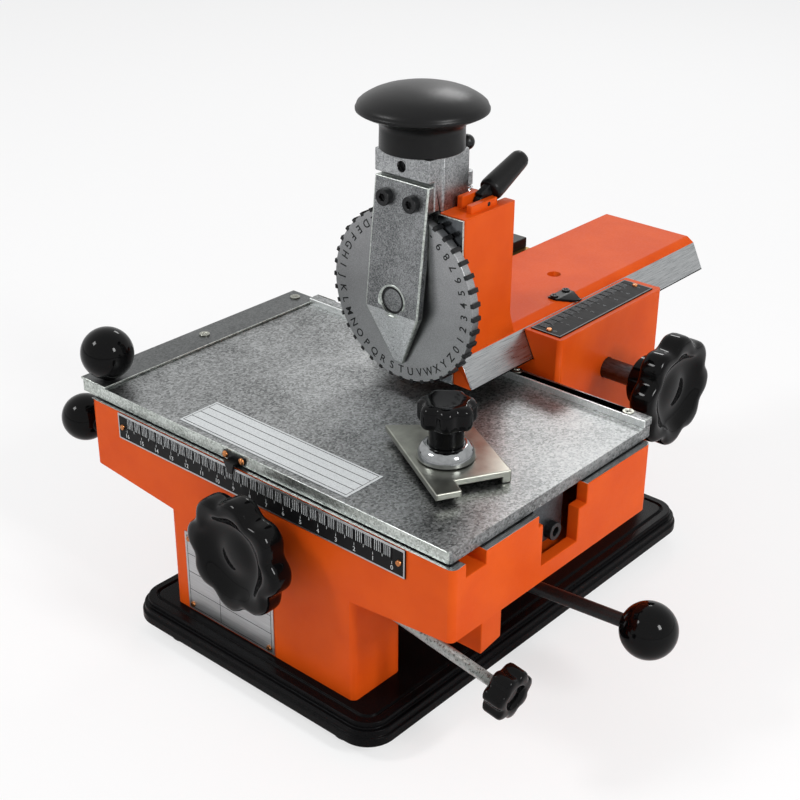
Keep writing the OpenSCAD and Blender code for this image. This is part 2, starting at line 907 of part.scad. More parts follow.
module column_casting() {
    roof = side_crank_z - arm_pitch_r - col_roof_t;
    color(orange) framed() difference() {
        union() {
            translate([0, (bed_l + col_rear) / 2, base_top]) linear_extrude(height = bed_top - base_top)
                round_rect(col_w, col_rear - bed_l, col_corner_r);
            translate([0, (col_front + col_rear) / 2, base_top])
                linear_extrude(height = col_top - base_top)
                    round_rect(col_w, col_l, col_corner_r);
        }
        run_y(bed_l - overrun, col_rear - bed_l + 2 * overrun)
            arm_section(slide_gap, gib_t + slide_gap, slide_gap, col_top - arm_bottom + overrun);
        box([-rack_slot_w / 2, bed_l - overrun, arm_pitch_z - tooth_tip - pass_gap],
            [rack_slot_w / 2, col_rear + overrun, arm_bottom]);
        box([-pinion_l / 2 - overrun, side_crank_y - arm_pitch_r - 2 * tooth_m,
            side_crank_z - arm_pitch_r - 2 * tooth_m],
            [pinion_l / 2 + overrun, side_crank_y + arm_pitch_r + 2 * tooth_m, arm_bottom]);
        rod_x_axis([-pinion_l / 2 - boss_l, side_crank_y, side_crank_z], shaft_r + bush_t + fit_gap,
            pinion_l / 2 + boss_l + col_w / 2 - bush_in);
        rod_x_axis([0, side_crank_y, side_crank_z], shaft_r + pass_gap, col_w / 2 + overrun);
        difference() {
            box([-col_w / 2 + col_wall, bed_l + 2 * col_wall, base_top - overrun],
                [col_w / 2 - col_wall, col_rear - col_wall, roof]);
            at_column_pads() bolt_pad();
        }
        at_column_pads() rod_z_axis([0, 0, base_top - overrun], bolt_r + fit_gap, pad_h);
        at_column_bolts() rod_y_axis([0, bed_l - overrun, 0], bolt_r + fit_gap, bolt_l + overrun);
        at_column_rivets() rod_z_axis([0, 0, col_top - rivet_sink], rivet_r / 2 + fit_gap,
            rivet_sink + overrun);
        at_gib_screws() rod_x_axis([-col_w / 2 - overrun, 0, 0], gib_screw_r + fit_gap, col_w / 4);
    }
}

module at_gib_screws() {
    for (share = gib_screw_shares) {
        translate([0, col_front + share * col_l, arm_bottom + gib_screw_z]) children();
    }
}

// Socket bolt along Z: its head's seat is at 0 and its shank points up
module socket_bolt(l) {
    difference() {
        translate([0, 0, -bolt_head_h]) cylinder(r = bolt_head_r, h = bolt_head_h);
        translate([0, 0, -bolt_head_h - overrun]) cylinder(r = hex_r, h = hex_d + overrun, $fn = 6);
    }
    cylinder(r = bolt_r, h = l);
}

module casting_bolts() {
    base_seat = foot_h + bolt_head_h;
    color(dark_grey) framed() {
        at_column_bolts() translate([0, bed_l - wall_t, 0]) rotate([-90, 0, 0])
            socket_bolt(wall_t + bolt_l);
        at_leg_pads() translate([0, 0, base_seat])
            socket_bolt(base_top - base_seat + pad_h - 2 * overrun);
        at_column_pads() translate([0, 0, base_seat])
            socket_bolt(base_top - base_seat + pad_h - 2 * overrun);
        translate([lever_x, lever_y, lever_z]) {
            rod_z_axis([0, 0, -lever_boss_h / 2 - pivot_head_h - slide_gap], pivot_head_r, pivot_head_h);
            rod_z_axis([0, 0, -lever_boss_h / 2 - slide_gap], pivot_r, bed_bottom - lever_z);
        }
    }
}

module front_scale_plate() {
    color(black_gloss) framed() difference() {
        box([scale_mid_x - scale_w / 2, -scale_t, bed_top - scale_drop - scale_h],
            [scale_mid_x + scale_w / 2, 0, bed_top - scale_drop]);
        at_front_rivets() rod_y_axis([0, -scale_t - overrun, 0], rivet_r / 2 + fit_gap,
            scale_t + 2 * overrun);
    }
}

module column_scale_plate() {
    color(black_gloss) framed() difference() {
        box([col_scale_x - col_scale_w / 2, col_scale_y - col_scale_l / 2, col_top],
            [col_scale_x + col_scale_w / 2, col_scale_y + col_scale_l / 2, col_top + col_scale_t]);
        at_column_rivets() rod_z_axis([0, 0, col_top - overrun], rivet_r / 2 + fit_gap,
            col_scale_t + 2 * overrun);
    }
}

module blank_plate() {
    color(bright) framed() difference() {
        box([data_x - data_w / 2, -data_t, base_top + scale_t],
            [data_x + data_w / 2, 0, base_top + scale_t + data_h]);
        at_data_rivets() rod_y_axis([0, -data_t - overrun, 0], rivet_r / 2 + fit_gap, data_t + 2 * overrun);
    }
}

// Rivet along Z: its head's seat is at 0
module rivet(sink) {
    difference() {
        sphere(r = rivet_r);
        translate([0, 0, -rivet_r]) cube(2 * rivet_r, center = true);
        translate([0, 0, rivet_h + rivet_r]) cube(2 * rivet_r, center = true);
    }
    translate([0, 0, -sink]) cylinder(r = rivet_r / 2, h = sink + rivet_h / 2);
}

module plate_rivets() {
    color(copper) framed() {
        at_front_rivets() translate([0, -scale_t, 0]) rotate([90, 0, 0]) rivet(scale_t + rivet_sink / 2);
        at_data_rivets() translate([0, -data_t, 0]) rotate([90, 0, 0]) rivet(data_t + rivet_sink / 2);
        at_column_rivets() translate([0, 0, col_top + col_scale_t]) rivet(col_scale_t + rivet_sink / 2);
    }
}

module rear_guide_rod() {
    half = bed_w / 2 - wall_t + guide_seat;
    color(bright) framed() rod_x_axis([-half, guide_y, guide_z], guide_r, 2 * half);
}

module shaft_bushes() {
    color(copper) framed() {
        for (span = [[0, boss_l], [rib_front, rib_t]]) {
            difference() {
                rod_y_axis([front_crank_x, span[0], front_crank_z], shaft_r + bush_t, span[1]);
                rod_y_axis([front_crank_x, span[0] - overrun, front_crank_z], shaft_r + run_gap,
                    span[1] + 2 * overrun);
            }
        }
        for (span = [
            [-pinion_l / 2 - boss_l, boss_l - overrun], [col_w / 2 - boss_l, boss_l - bush_in]
        ]) {
            difference() {
                rod_x_axis([span[0], side_crank_y, side_crank_z], shaft_r + bush_t, span[1]);
                rod_x_axis([span[0] - overrun, side_crank_y, side_crank_z], shaft_r + run_gap,
                    span[1] + 2 * overrun);
            }
        }
    }
}

module gib_strip() {
    low = flank_x(0) + slide_gap;
    high = flank_x(col_top - arm_bottom) + slide_gap;
    color(copper) framed() run_y(col_front, col_l) polygon([
        [-low, arm_bottom], [-low - gib_t, arm_bottom], [-high - gib_t, col_top], [-high, col_top]
    ]);
}

module gib_cover() {
    color(black_matt) framed() box(
        [gib_cover_x - gib_cover_w / 2, col_front + gib_cover_front, col_top],
        [gib_cover_x + gib_cover_w / 2, col_front + gib_cover_front + gib_cover_l, col_top + gib_cover_h]
    );
}

module gib_screws() {
    back = flank_x(gib_screw_z - gib_screw_r) + 2 * slide_gap + gib_t;
    color(dark_grey) framed() at_gib_screws() {
        rod_x_axis([-col_w / 2 - gib_screw_out, 0, 0], gib_screw_r, col_w / 2 + gib_screw_out - back);
        difference() {
            translate([-col_w / 2 - gib_nut_t, 0, 0]) rotate([0, 90, 0])
                cylinder(r = gib_nut_r, h = gib_nut_t, $fn = 6);
            rod_x_axis([-col_w / 2 - gib_nut_t - overrun, 0, 0], gib_screw_r - fit_gap,
                gib_nut_t + 2 * overrun);
        }
    }
}

// Moves a piece to the table's middle at its front edge
module on_table() {
    translate([table_x, table_front, 0]) children();
}

module at_clamp() {
    on_table() translate([table_w / 2 - clamp_in_x, clamp_in_y, 0]) children();
}

module at_strip_screws() {
    for (share = strip_screw_ys) {
        translate([-table_w / 2 + strip_screw_x, share * table_l, table_top + strip_t]) children();
    }
}

module at_fence_screws() {
    for (in = fence_screw_ins) {
        translate([table_w / 2 - in, table_l - fence_l / 2, table_top + fence_h - fence_screw_sink])
            children();
    }
}

module at_table_ball() {
    translate([-table_w / 2 + ball_in_x, ball_in_y, table_top + ball_rise]) children();
}

module at_pointer_screws() {
    for (sx = [-1, 1]) {
        translate([pointer_x + sx * pointer_screw_x, -pointer_t, table_under + pointer_head_h / 2])
            children();
    }
}

module table_plate() {
    color(zinc) framed() difference() {
        on_table() translate([0, table_l / 2, table_under]) linear_extrude(height = table_t)
            round_rect(table_w, table_l, table_corner_r);
        on_table() at_table_ball() rod_z_axis([0, 0, -ball_rise - table_t - overrun],
            ball_stud_r + fit_gap, table_t + 2 * overrun);
        on_table() at_strip_screws() rod_z_axis([0, 0, -strip_t - table_t / 2],
            screw_r + fit_gap, table_t);
        on_table() at_fence_screws() rod_z_axis([0, 0, -fence_h - table_t / 2],
            screw_r + fit_gap, table_t);
        at_clamp() rod_z_axis([0, 0, table_under - overrun], clamp_stud_r + fit_gap, table_t + 2 * overrun);
        at_pointer_screws() rod_y_axis([0, 0, 0], screw_r + fit_gap, table_front + pointer_t + bolt_l);
    }
}

module left_strip() {
    color(zinc) framed() on_table() difference() {
        box([-table_w / 2, 0, table_top], [-table_w / 2 + strip_w, table_l, table_top + strip_t]);
        at_table_ball() rod_z_axis([0, 0, -ball_rise - overrun], ball_stud_r + fit_gap,
            strip_t + 2 * overrun);
        at_strip_screws() rod_z_axis([0, 0, -strip_t - overrun], screw_r + fit_gap, strip_t + 2 * overrun);
    }
}

module back_fence() {
    color(zinc) framed() on_table() difference() {
        box([-table_w / 2 + strip_w, table_l - fence_l, table_top],
            [table_w / 2, table_l, table_top + fence_h]);
        at_fence_screws() {
            rod_z_axis([0, 0, -fence_h - overrun], screw_r + fit_gap, fence_h + 2 * overrun);
            rod_z_axis([0, 0, 0], screw_head_r + fit_gap, screw_head_h + overrun);
        }
    }
}

module strip_screws() {
    color(steel) framed() on_table() {
        at_strip_screws() machine_screw(screw_head_r, screw_head_h, screw_r, strip_t + table_t / 2);
        at_fence_screws() machine_screw(screw_head_r, screw_head_h, screw_r,
            fence_h - fence_screw_sink + table_t / 2);
    }
}

module front_guide_bar() {
    color(dark_grey) framed() box(
        [table_x - bar_l / 2, front_wall_t + pass_gap, bed_top - groove_d + pass_gap],
        [table_x + bar_l / 2, front_wall_t + groove_l - pass_gap, table_under]
    );
}

module bearing_block() {
    color(dark_grey) framed() difference() {
        box([table_x + block_from, guide_y - block_l / 2, table_under - block_drop],
            [table_x + block_to, guide_y + block_l / 2, table_under]);
        rod_x_axis([table_x + block_from - overrun, guide_y, guide_z], guide_r + bush_t + fit_gap,
            block_to - block_from + 2 * overrun);
    }
}

module bearing_bush() {
    color(copper) framed() difference() {
        rod_x_axis([table_x + block_from, guide_y, guide_z], guide_r + bush_t, block_to - block_from);
        rod_x_axis([table_x + block_from - overrun, guide_y, guide_z], guide_r + run_gap,
            block_to - block_from + 2 * overrun);
    }
}

module at_end_screw() {
    translate([table_x + carrier_to, carrier_front + end_screw_y, table_under - end_screw_drop]) children();
}

module rack_carrier() {
    rack_top = table_pitch_z + tooth_root + rack_body;
    color(dark_grey) framed() difference() {
        union() {
            box([table_x + carrier_from, carrier_front, rack_top],
                [table_x + carrier_to, carrier_front + carrier_l, table_under]);
            box([table_x + carrier_to - carrier_lug_t, carrier_front, table_under - carrier_lug_drop],
                [table_x + carrier_to, carrier_front + carrier_l, table_under]);
        }
        at_end_screw() rod_x_axis([-carrier_lug_t - overrun, 0, 0], end_screw_r + fit_gap,
            carrier_lug_t + 2 * overrun);
    }
}

module table_rack() {
    color(steel) framed() translate([front_crank_x, 0, table_pitch_z]) run_y(pinion_front, pinion_l)
        rack_outline(table_x + carrier_from - front_crank_x,
            table_x + carrier_to - carrier_lug_t - front_crank_x);
}

module carriage_end_screw() {
    color(black_matt) framed() at_end_screw() difference() {
        rod_x_axis([-carrier_lug_t, 0, 0], end_screw_r, carrier_lug_t + end_screw_out);
        rod_x_axis([-carrier_lug_t / 2, 0, 0], end_screw_bore_r, carrier_lug_t + end_screw_out);
    }
}

module table_pointer() {
    color(copper) framed() difference() {
        union() {
            box([pointer_x - pointer_w / 2, -2 * pointer_t, table_under],
                [pointer_x + pointer_w / 2, table_front, table_under + pointer_head_h]);
            run_y(-2 * pointer_t, pointer_t) polygon([
                [pointer_x - pointer_w / 2, table_under + pointer_t],
                [pointer_x - pointer_w / 2, table_under],
                [pointer_tip_x, table_under - pointer_tip_drop],
                [pointer_x + pointer_w / 2, table_under],
                [pointer_x + pointer_w / 2, table_under + pointer_t]
            ]);
        }
        at_pointer_screws() rod_y_axis([0, -pointer_t - overrun, 0], screw_r + fit_gap,
            table_front + 3 * pointer_t);
    }
}

module table_pointer_screws() {
    color(copper) framed() at_pointer_screws() translate([0, -pointer_t, 0]) rotate([90, 0, 0])
        machine_screw(pointer_screw_r * 1.3, pointer_screw_out, screw_r, bolt_l);
}

module instruction_plate() {
    color(bright) framed() box(
        [print_x - print_w / 2, print_y - print_l / 2, table_top],
        [print_x + print_w / 2, print_y + print_l / 2, table_top + print_t]
    );
}

module rear_clip() {
    mid = -table_w / 2 + strip_w + clip_in;
    color(black_matt) framed() on_table() difference() {
        box([mid - clip_w / 2, table_l, table_top - clip_drop],
            [mid + clip_w / 2, table_l + clip_l, table_top - clip_drop + clip_t]);
        rod_z_axis([mid, table_l + clip_l / 2, table_top - clip_drop + clip_t / 2], screw_r, clip_t);
    }
}

module table_ball() {
    color(black_gloss) framed() on_table() at_table_ball() union() {
        difference() {
            sphere(r = grip_r);
            translate([0, 0, -grip_r - ball_flat]) cube([grip_r, grip_r, 2 * ball_flat], center = true);
        }
        rod_z_axis([0, 0, -ball_rise - table_t], ball_stud_r, ball_rise);
    }
}

module clamp_stud() {
    color(steel) framed() at_clamp() rod_z_axis([0, 0, table_under], clamp_stud_r, clamp_stud_h);
}

module clamp_plate() {
    color(bright) framed() at_clamp() rotate(clamp_turn) difference() {
        union() {
            translate([0, 0, table_top + clamp_lift]) linear_extrude(height = clamp_t)
                polygon(clamp_outline);
            translate([0, 0, table_top + slide_gap]) linear_extrude(height = clamp_lift + clamp_t / 2)
                intersection() {
                    polygon(clamp_outline);
                    translate([clamp_outline[1][0], clamp_outline[1][1] - clamp_foot_w / 2])
                        square([clamp_outline[2][0] - clamp_outline[1][0], clamp_foot_w]);
                }
        }
        rod_z_axis([0, 0, table_top - overrun], clamp_stud_r + pass_gap, clamp_lift + clamp_t + 2 * overrun);
    }
}

module dome_washer() {
    low = table_top + clamp_lift + clamp_t;
    color(bright) framed() at_clamp() difference() {
        translate([0, 0, low]) rotate_extrude() polygon([
            [0, 0], [dome_r, 0], [dome_r, dome_h / 5], [dome_crown_r * 1.25, dome_h * 0.7],
            [dome_crown_r, dome_h], [0, dome_h]
        ]);
        rod_z_axis([0, 0, low - overrun], clamp_stud_r + pass_gap, dome_h + 2 * overrun);
    }
}

module clamp_knob() {
    low = table_top + clamp_lift + clamp_t + dome_h + slide_gap;
    color(black_gloss) framed() at_clamp() difference() {
        union() {
            rod_z_axis([0, 0, low], clamp_shank_r, clamp_shank_h + overrun);
            translate([0, 0, low + clamp_shank_h]) linear_extrude(height = clamp_head_h)
                lobed(clamp_knob_r, clamp_lobes, knob_root_share, knob_lobe_share);
        }
        rod_z_axis([0, 0, low - overrun], clamp_stud_r + run_gap, clamp_stud_h);
    }
}

module front_shaft() {
    color(steel) framed() rod_y_axis([front_crank_x, front_wheel_y + wheel_sink, front_crank_z], shaft_r,
        rib_front + rib_t - front_wheel_y - wheel_sink);
}

module table_pinion() {
    color(steel) framed() translate([front_crank_x, pinion_front + pinion_l / 2, front_crank_z])
        rotate([90, 0, 0]) pinion(table_pitch_r, table_teeth, 90);
}

module front_handwheel() {
    color(black_gloss) framed() translate([front_crank_x, front_wheel_y, front_crank_z])
        rotate([90, wheel_turn, 0]) handwheel(front_hub_l);
}

module side_shaft() {
    color(steel) framed() rod_x_axis([-pinion_l / 2 - boss_l + overrun, side_crank_y, side_crank_z], shaft_r,
        pinion_l / 2 + boss_l - overrun + col_w / 2 + side_wheel_out - wheel_sink);
}

module arm_pinion() {
    color(steel) framed() translate([0, side_crank_y, side_crank_z]) rotate([90, 0, 90])
        pinion(arm_pitch_r, arm_teeth, 90);
}

module side_handwheel() {
    color(black_gloss) framed() translate([col_w / 2 + side_wheel_out, side_crank_y, side_crank_z])
        rotate([90, wheel_turn, 90]) handwheel(side_hub_l);
}

module arm_casting() {
    band_w = flank_x(arm_flank_h + arm_foot_h) * 2;
    upright_rear = arm_front + upright_l;
    ears = [
        [ear_in_x, ear_in_rear, ear_in_l, ear_in_h], [ear_out_x, ear_out_rear, ear_out_l, ear_out_h]
    ];
    color(orange) framed() difference() {
        union() {
            run_y(arm_front, arm_l) polygon([
                [-arm_w / 2, arm_bottom], [arm_w / 2, arm_bottom],
                [arm_w / 2, arm_bottom + arm_foot_h], [band_w / 2, arm_bottom + arm_foot_h + arm_flank_h],
                [arm_top_w / 2, arm_top], [-arm_top_w / 2, arm_top],
                [-band_w / 2, arm_bottom + arm_foot_h + arm_flank_h],
                [-arm_w / 2, arm_bottom + arm_foot_h]
            ]);
            translate([upright_right - upright_w / 2, 0, 0]) run_x(upright_w) polygon([
                [arm_front, arm_top - 2 * arm_foot_h],
                [upright_rear + upright_foot, arm_top - 2 * arm_foot_h],
                [upright_rear + upright_foot, arm_top], [upright_rear, arm_top + 3 * upright_foot],
                [upright_rear, upright_top], [arm_front, upright_top]
            ]);
            for (ear = ears) {
                box([ear[0], arm_front + ear[1] - ear[2], upright_top - overrun],
                    [ear[0] + ear_t, arm_front + ear[1], upright_top + ear[3]]);
            }
        }
        box([-head_w / 2 - channel_gap, arm_front - overrun, arm_bottom + channel_floor_t],
            [head_w / 2 + channel_gap, head_rear + channel_gap, upright_top + overrun]);
        box([-arm_w, arm_front - overrun, arm_bottom - overrun],
            [-upright_left, arm_front + arm_cut_l, arm_top + overrun]);
        box([-pinion_l / 2 - fit_gap, arm_front + arm_rack_front, arm_bottom - overrun],
            [pinion_l / 2 + fit_gap, arm_front + arm_rack_front + arm_rack_l,
                arm_pitch_z + tooth_root + rack_body]);
        box([ear_in_x + ear_t, arm_front + lever_pin_y - 2 * lever_hub_r, upright_top - lever_slot_d],
            [ear_out_x, upright_rear + overrun, upright_top + overrun]);
        rod_z_axis([arm_hole_x, arm_front + arm_hole_y, arm_top - arm_hole_d], arm_hole_r,
            arm_hole_d + overrun);
        rod_z_axis([rod_x, rod_y, upright_top - spring_pocket_d],
            spring_r + spring_wire_r + pass_gap, spring_pocket_d + overrun);
        rod_z_axis([rod_x, rod_y, upright_top - spring_pocket_d - rod_sink], rod_r + fit_gap,
            rod_sink + overrun);
        rod_x_axis([ear_in_x - overrun, arm_front + lever_pin_y, upright_top + lever_pin_z],
            lever_pin_r + run_gap, ear_out_x + ear_t - ear_in_x + 2 * overrun);
        at_arm_pointer_screws() rod_z_axis([0, 0, -bolt_r * 2], screw_r + fit_gap, bolt_r * 2 + overrun);
        at_sheet_screws() rod_y_axis([0, 0, 0], screw_r + fit_gap, sheet_t + bolt_r * 2);
    }
}

module arm_rack() {
    color(steel) framed() translate([0, side_crank_y, arm_pitch_z]) run_x(pinion_l)
        rack_outline(arm_front + arm_rack_front - side_crank_y,
            arm_front + arm_rack_front + arm_rack_l - side_crank_y);
}

// Countersunk screws that hold the cover sheet, hidden behind the type disc
module at_sheet_screws() {
    for (sz = [-1, 1]) {
        translate([upright_right - sheet_screw_in, arm_front - sheet_t, disc_z + sz * sheet_screw_up])
            children();
    }
}

module at_arm_pointer_screws() {
    for (y = arm_pointer_screws) {
        translate([arm_top_w / 2 - arm_pointer_screw_in, arm_front + arm_pointer_y + y, arm_top])
            children();
    }
}

module arm_pointer() {
    edge = arm_top_w / 2;
    from = edge - arm_pointer_in;
    low_x = flank_x(arm_flank_h + arm_foot_h);
    low_z = col_top + 2 * pass_gap;
    tip_x = low_x + arm_pointer_reach;
    color(black_matt) framed() difference() {
        intersection() {
            run_y(arm_front + arm_pointer_y, arm_pointer_l) polygon([
                [from, arm_top], [edge, arm_top], [low_x, low_z],
                [tip_x, low_z], [tip_x, low_z + arm_pointer_t],
                [low_x + arm_pointer_t / 2, low_z + arm_pointer_t],
                [edge + arm_pointer_t / 2, arm_top + arm_pointer_t], [from, arm_top + arm_pointer_t]
            ]);
            translate([0, arm_front + arm_pointer_y, low_z - overrun])
                linear_extrude(height = 2 * (arm_top - low_z)) polygon([
                    [from - overrun, 0], [edge, 0],
                    [tip_x, arm_pointer_tip_y - arm_pointer_t / 2],
                    [tip_x, arm_pointer_tip_y + arm_pointer_t / 2],
                    [edge, arm_pointer_l], [from - overrun, arm_pointer_l]
                ]);
        }
        at_arm_pointer_screws() rod_z_axis([0, 0, -overrun], screw_r + fit_gap,
            arm_pointer_t + 2 * overrun);
    }
}

module arm_screws() {
    color(steel) framed() {
        at_arm_pointer_screws() translate([0, 0, arm_pointer_t])
            machine_screw(pointer_screw_r * 1.3, screw_head_h, screw_r, arm_pointer_t + bolt_r);
        at_sheet_screws() {
            rod_y_axis([0, 0, 0], screw_head_r, sheet_t);
            rod_y_axis([0, 0, 0], screw_r, sheet_t + bolt_r * 2);
        }
    }
}

module slide_cover_sheet() {
    neck = arm_bottom + sheet_foot_h;
    color(bright) framed() difference() {
        run_y(arm_front - sheet_t, sheet_t) difference() {
            union() {
                translate([sheet_left, arm_bottom + pass_gap])
                    square([sheet_foot_w, upright_top - arm_bottom - 2 * pass_gap]);
                translate([sheet_left, neck]) square([sheet_w, upright_top - neck - pass_gap]);
            }
            translate([-head_w / 2 - channel_gap, upright_top - press_stroke - channel_gap])
                square([head_w + 2 * channel_gap, press_stroke + 2 * overrun]);
            translate([0, disc_z]) circle(r = axle_r + pass_gap);
            translate([0, disc_z - press_stroke]) circle(r = axle_r + pass_gap);
            translate([-axle_r - pass_gap, disc_z - press_stroke])
                square([2 * axle_r + 2 * pass_gap, press_stroke]);
        }
        at_sheet_screws() rod_y_axis([0, -overrun, 0], screw_head_r + fit_gap, sheet_t + 2 * overrun);
    }
}

module clamp_lever() {
    mid = (ear_in_x + ear_t + ear_out_x) / 2;
    hub_w = ear_out_x - ear_in_x - ear_t - 2 * lever_hub_gap;
    pin_l = ear_out_x + ear_t - ear_in_x;
    color(black_matt) framed() translate([mid, arm_front + lever_pin_y, upright_top + lever_pin_z])
        rotate([lever_angle, 0, 0]) {
            rod_x_axis([-hub_w / 2, 0, 0], lever_hub_r, hub_w);
            rod_x_axis([-pin_l / 2, 0, 0], lever_pin_r, pin_l);
            box([-hub_w / 2, 0, -lever_hub_r * 0.7], [hub_w / 2, lever_root + overrun, lever_hub_r * 0.7]);
            translate([0, lever_root, 0]) rotate([-90, 0, 0])
                cylinder(r1 = lever_root_r, r2 = lever_end_r, h = lever_handle_l - lever_end_r / 2);
            translate([0, lever_root + lever_handle_l - lever_end_r / 2, 0]) rotate([-90, 0, 0])
                cylinder(r1 = lever_end_r, r2 = lever_end_r * 0.7, h = lever_end_r / 2);
        }
}

module spring_rod() {
    low = spring_pocket_d + rod_sink;
    color(black_matt) framed() translate([rod_x, rod_y, upright_top]) {
        rod_z_axis([0, 0, -low], rod_r, rod_h + low);
        translate([0, 0, rod_h]) sphere(r = rod_ball_r);
    }
}

// Centre line of the spring: it closes flat at both ends
function spring_lift(t) =
    let (n = spring_turns, low = spring_wire_r * 2.3, run = spring_high - spring_low - 2 * spring_wire_r)
    t < 1 ? low * t : t > n - 1 ? run - low * (n - t) : low + (run - 2 * low) * (t - 1) / (n - 2);
spring_path = [for (i = [0:spring_turns * spring_steps])
    let (t = i / spring_steps)
    [spring_r * cos(360 * t), spring_r * sin(360 * t), spring_low + spring_wire_r + spring_lift(t)]];
spring_least_gap = min([for (i = [0:len(spring_path) - 1], j = [0:len(spring_path) - 1])
    if (j - i > spring_steps / 2) norm(spring_path[i] - spring_path[j]) - 2 * spring_wire_r]);

module return_spring() {
    n = len(spring_path);
    points = [for (i = [0:n - 1], k = [0:spring_sides - 1])
        let (
            p = spring_path[i],
            out = [p[0] / spring_r, p[1] / spring_r, 0],
            a = 360 * k / spring_sides
        )
        p + spring_wire_r * (cos(a) * out + [0, 0, sin(a)])];
    sides = [for (i = [0:n - 2], k = [0:spring_sides - 1])
        let (
            a = i * spring_sides + k, b = i * spring_sides + (k + 1) % spring_sides,
            c = a + spring_sides, d = b + spring_sides
        )
        each [[a, c, b], [b, c, d]]];
    start = [for (k = [1:spring_sides - 2]) [0, k, k + 1]];
    last = (n - 1) * spring_sides;
    finish = [for (k = [1:spring_sides - 2]) [last, last + k + 1, last + k]];
    echo(spring_least_gap = spring_least_gap);
    color(steel) framed() translate([rod_x, rod_y, 0])
        polyhedron(points = points, faces = concat(sides, start, finish));
}

module head_block() {
    color(steel) framed() difference() {
        union() {
            run_x(head_w) polygon([
                [head_front, head_top], [head_front, head_top - band_h],
                [head_front + seat_d, head_top - band_h], [head_front + seat_d, head_bottom],
                [arm_front + leg_front_gap, head_bottom], [arm_front + leg_front_gap, leg_bottom],
                [head_rear, leg_bottom], [head_rear, head_top]
            ]);
            box([rod_x - bracket_r, head_rear - overrun, bracket_z],
                [rod_x + bracket_r, rod_y, bracket_z + bracket_t]);
            rod_z_axis([rod_x, rod_y, bracket_z], bracket_r, bracket_t);
        }
        for (sx = [-1, 1]) {
            translate([sx * head_w / 2, head_front + side_groove_y, (head_top + head_bottom) / 2])
                cube([2 * side_groove_d, side_groove_w, head_top - head_bottom + overrun], center = true);
        }
        rod_y_axis([0, arm_front, disc_z], axle_r + fit_gap, axle_front + axle_l - arm_front);
        rod_z_axis([0, knob_y, head_top - knob_stem_l], knob_stem_r + fit_gap, knob_stem_l + overrun);
        rod_y_axis([0, head_front - overrun, set_hole_z], set_hole_r, knob_y - head_front);
        rod_z_axis([rod_x, rod_y, bracket_z - overrun], rod_r + pass_gap, bracket_t + 2 * overrun);
        for (sx = [-1, 1]) {
            rod_y_axis([sx * plate_screw_x, head_front, plate_screw_z], plate_screw_r + fit_gap,
                plate_screw_l + plate_screw_seat);
        }
    }
}

// Front face of the pointer plate at a height
function plate_front(z) = head_front - plate_lean * (plate_top - z) / (plate_top - plate_bend_z);

module pointer_plate() {
    relief_z = plate_bend_z + (disc_front - pass_gap - plate_t - plate_front(plate_bend_z))
        / (plate_lean / (plate_top - plate_bend_z));
    back = disc_front - pass_gap;
    color(steel) framed() difference() {
        intersection() {
            run_x(head_w) polygon([
                [head_front, plate_top], [plate_front(plate_bend_z), plate_bend_z],
                [back - plate_tip_t, plate_tip_z], [back, plate_tip_z],
                [plate_front(plate_bend_z) + plate_t, plate_bend_z], [back, relief_z],
                [back, head_bottom - pass_gap], [head_front + seat_d, head_bottom - pass_gap],
                [head_front + seat_d, plate_top]
            ]);
            run_y(head_front - 2 * plate_lean, head_l + plate_lean) polygon([
                [-head_w / 2, plate_top], [-head_w / 2, plate_bend_z],
                [-plate_tip_w / 2, plate_tip_z], [plate_tip_w / 2, plate_tip_z],
                [head_w / 2, plate_bend_z], [head_w / 2, plate_top]
            ]);
        }
        rod_y_axis([0, head_front - 2 * plate_lean, disc_z], plate_hole_r, head_l);
        translate([0, plate_front(disc_z) - plate_chamfer / 4, disc_z]) rotate([-90, 0, 0])
            cylinder(r1 = plate_hole_r + 1.25 * plate_chamfer, r2 = plate_hole_r, h = 1.25 * plate_chamfer);
        for (sx = [-1, 1]) {
            rod_y_axis([sx * plate_screw_x, head_front - plate_lean, plate_screw_z],
                plate_screw_r + fit_gap, head_l);
            rod_y_axis([sx * plate_screw_x, head_front - plate_lean, plate_screw_z],
                plate_screw_head_r + fit_gap, plate_lean - plate_screw_seat);
        }
    }
}

module plate_screws() {
    seat = head_front - plate_screw_seat;
    color(black_matt) framed() {
        for (sx = [-1, 1]) {
            difference() {
                union() {
                    rod_y_axis([sx * plate_screw_x, seat - plate_screw_head_h, plate_screw_z],
                        plate_screw_head_r, plate_screw_head_h);
                    rod_y_axis([sx * plate_screw_x, seat - overrun, plate_screw_z], plate_screw_r,
                        plate_screw_l + overrun);
                }
                translate([sx * plate_screw_x, seat - plate_screw_head_h - overrun, plate_screw_z])
                    rotate([-90, 0, 0]) cylinder(r = hex_r, h = hex_d + overrun, $fn = 6);
            }
        }
        difference() {
            rod_y_axis([0, knob_y - knob_stem_r - set_screw_l, set_hole_z], set_hole_r - fit_gap,
                set_screw_l);
            translate([0, knob_y - knob_stem_r - set_screw_l - overrun, set_hole_z])
                rotate([-90, 0, 0]) cylinder(r = hex_r / 2, h = hex_d + overrun, $fn = 6);
        }
    }
}

module mushroom_knob() {
    rim_z = knob_h - knob_rim_drop;
    dome = [for (i = [0:6]) let (a = 90 * i / 6) [knob_r * cos(a), rim_z + knob_rim_drop * sin(a)]];
    neck = [for (i = [0:4]) let (a = 90 * i / 4)
        [knob_skirt_r + knob_neck_r * (1 - cos(a)), rim_z - knob_rim_t - knob_neck_r * (1 - sin(a))]];
    color(black_matt) framed() translate([0, knob_y, head_top]) {
        rotate_extrude() polygon(concat(
            [[0, 0], [knob_skirt_r, 0]],
            neck, [[knob_r * knob_rim_share, rim_z - knob_rim_t * 0.8]], dome
        ));
        rod_z_axis([0, 0, -knob_stem_l], knob_stem_r, knob_stem_l + overrun);
    }
}

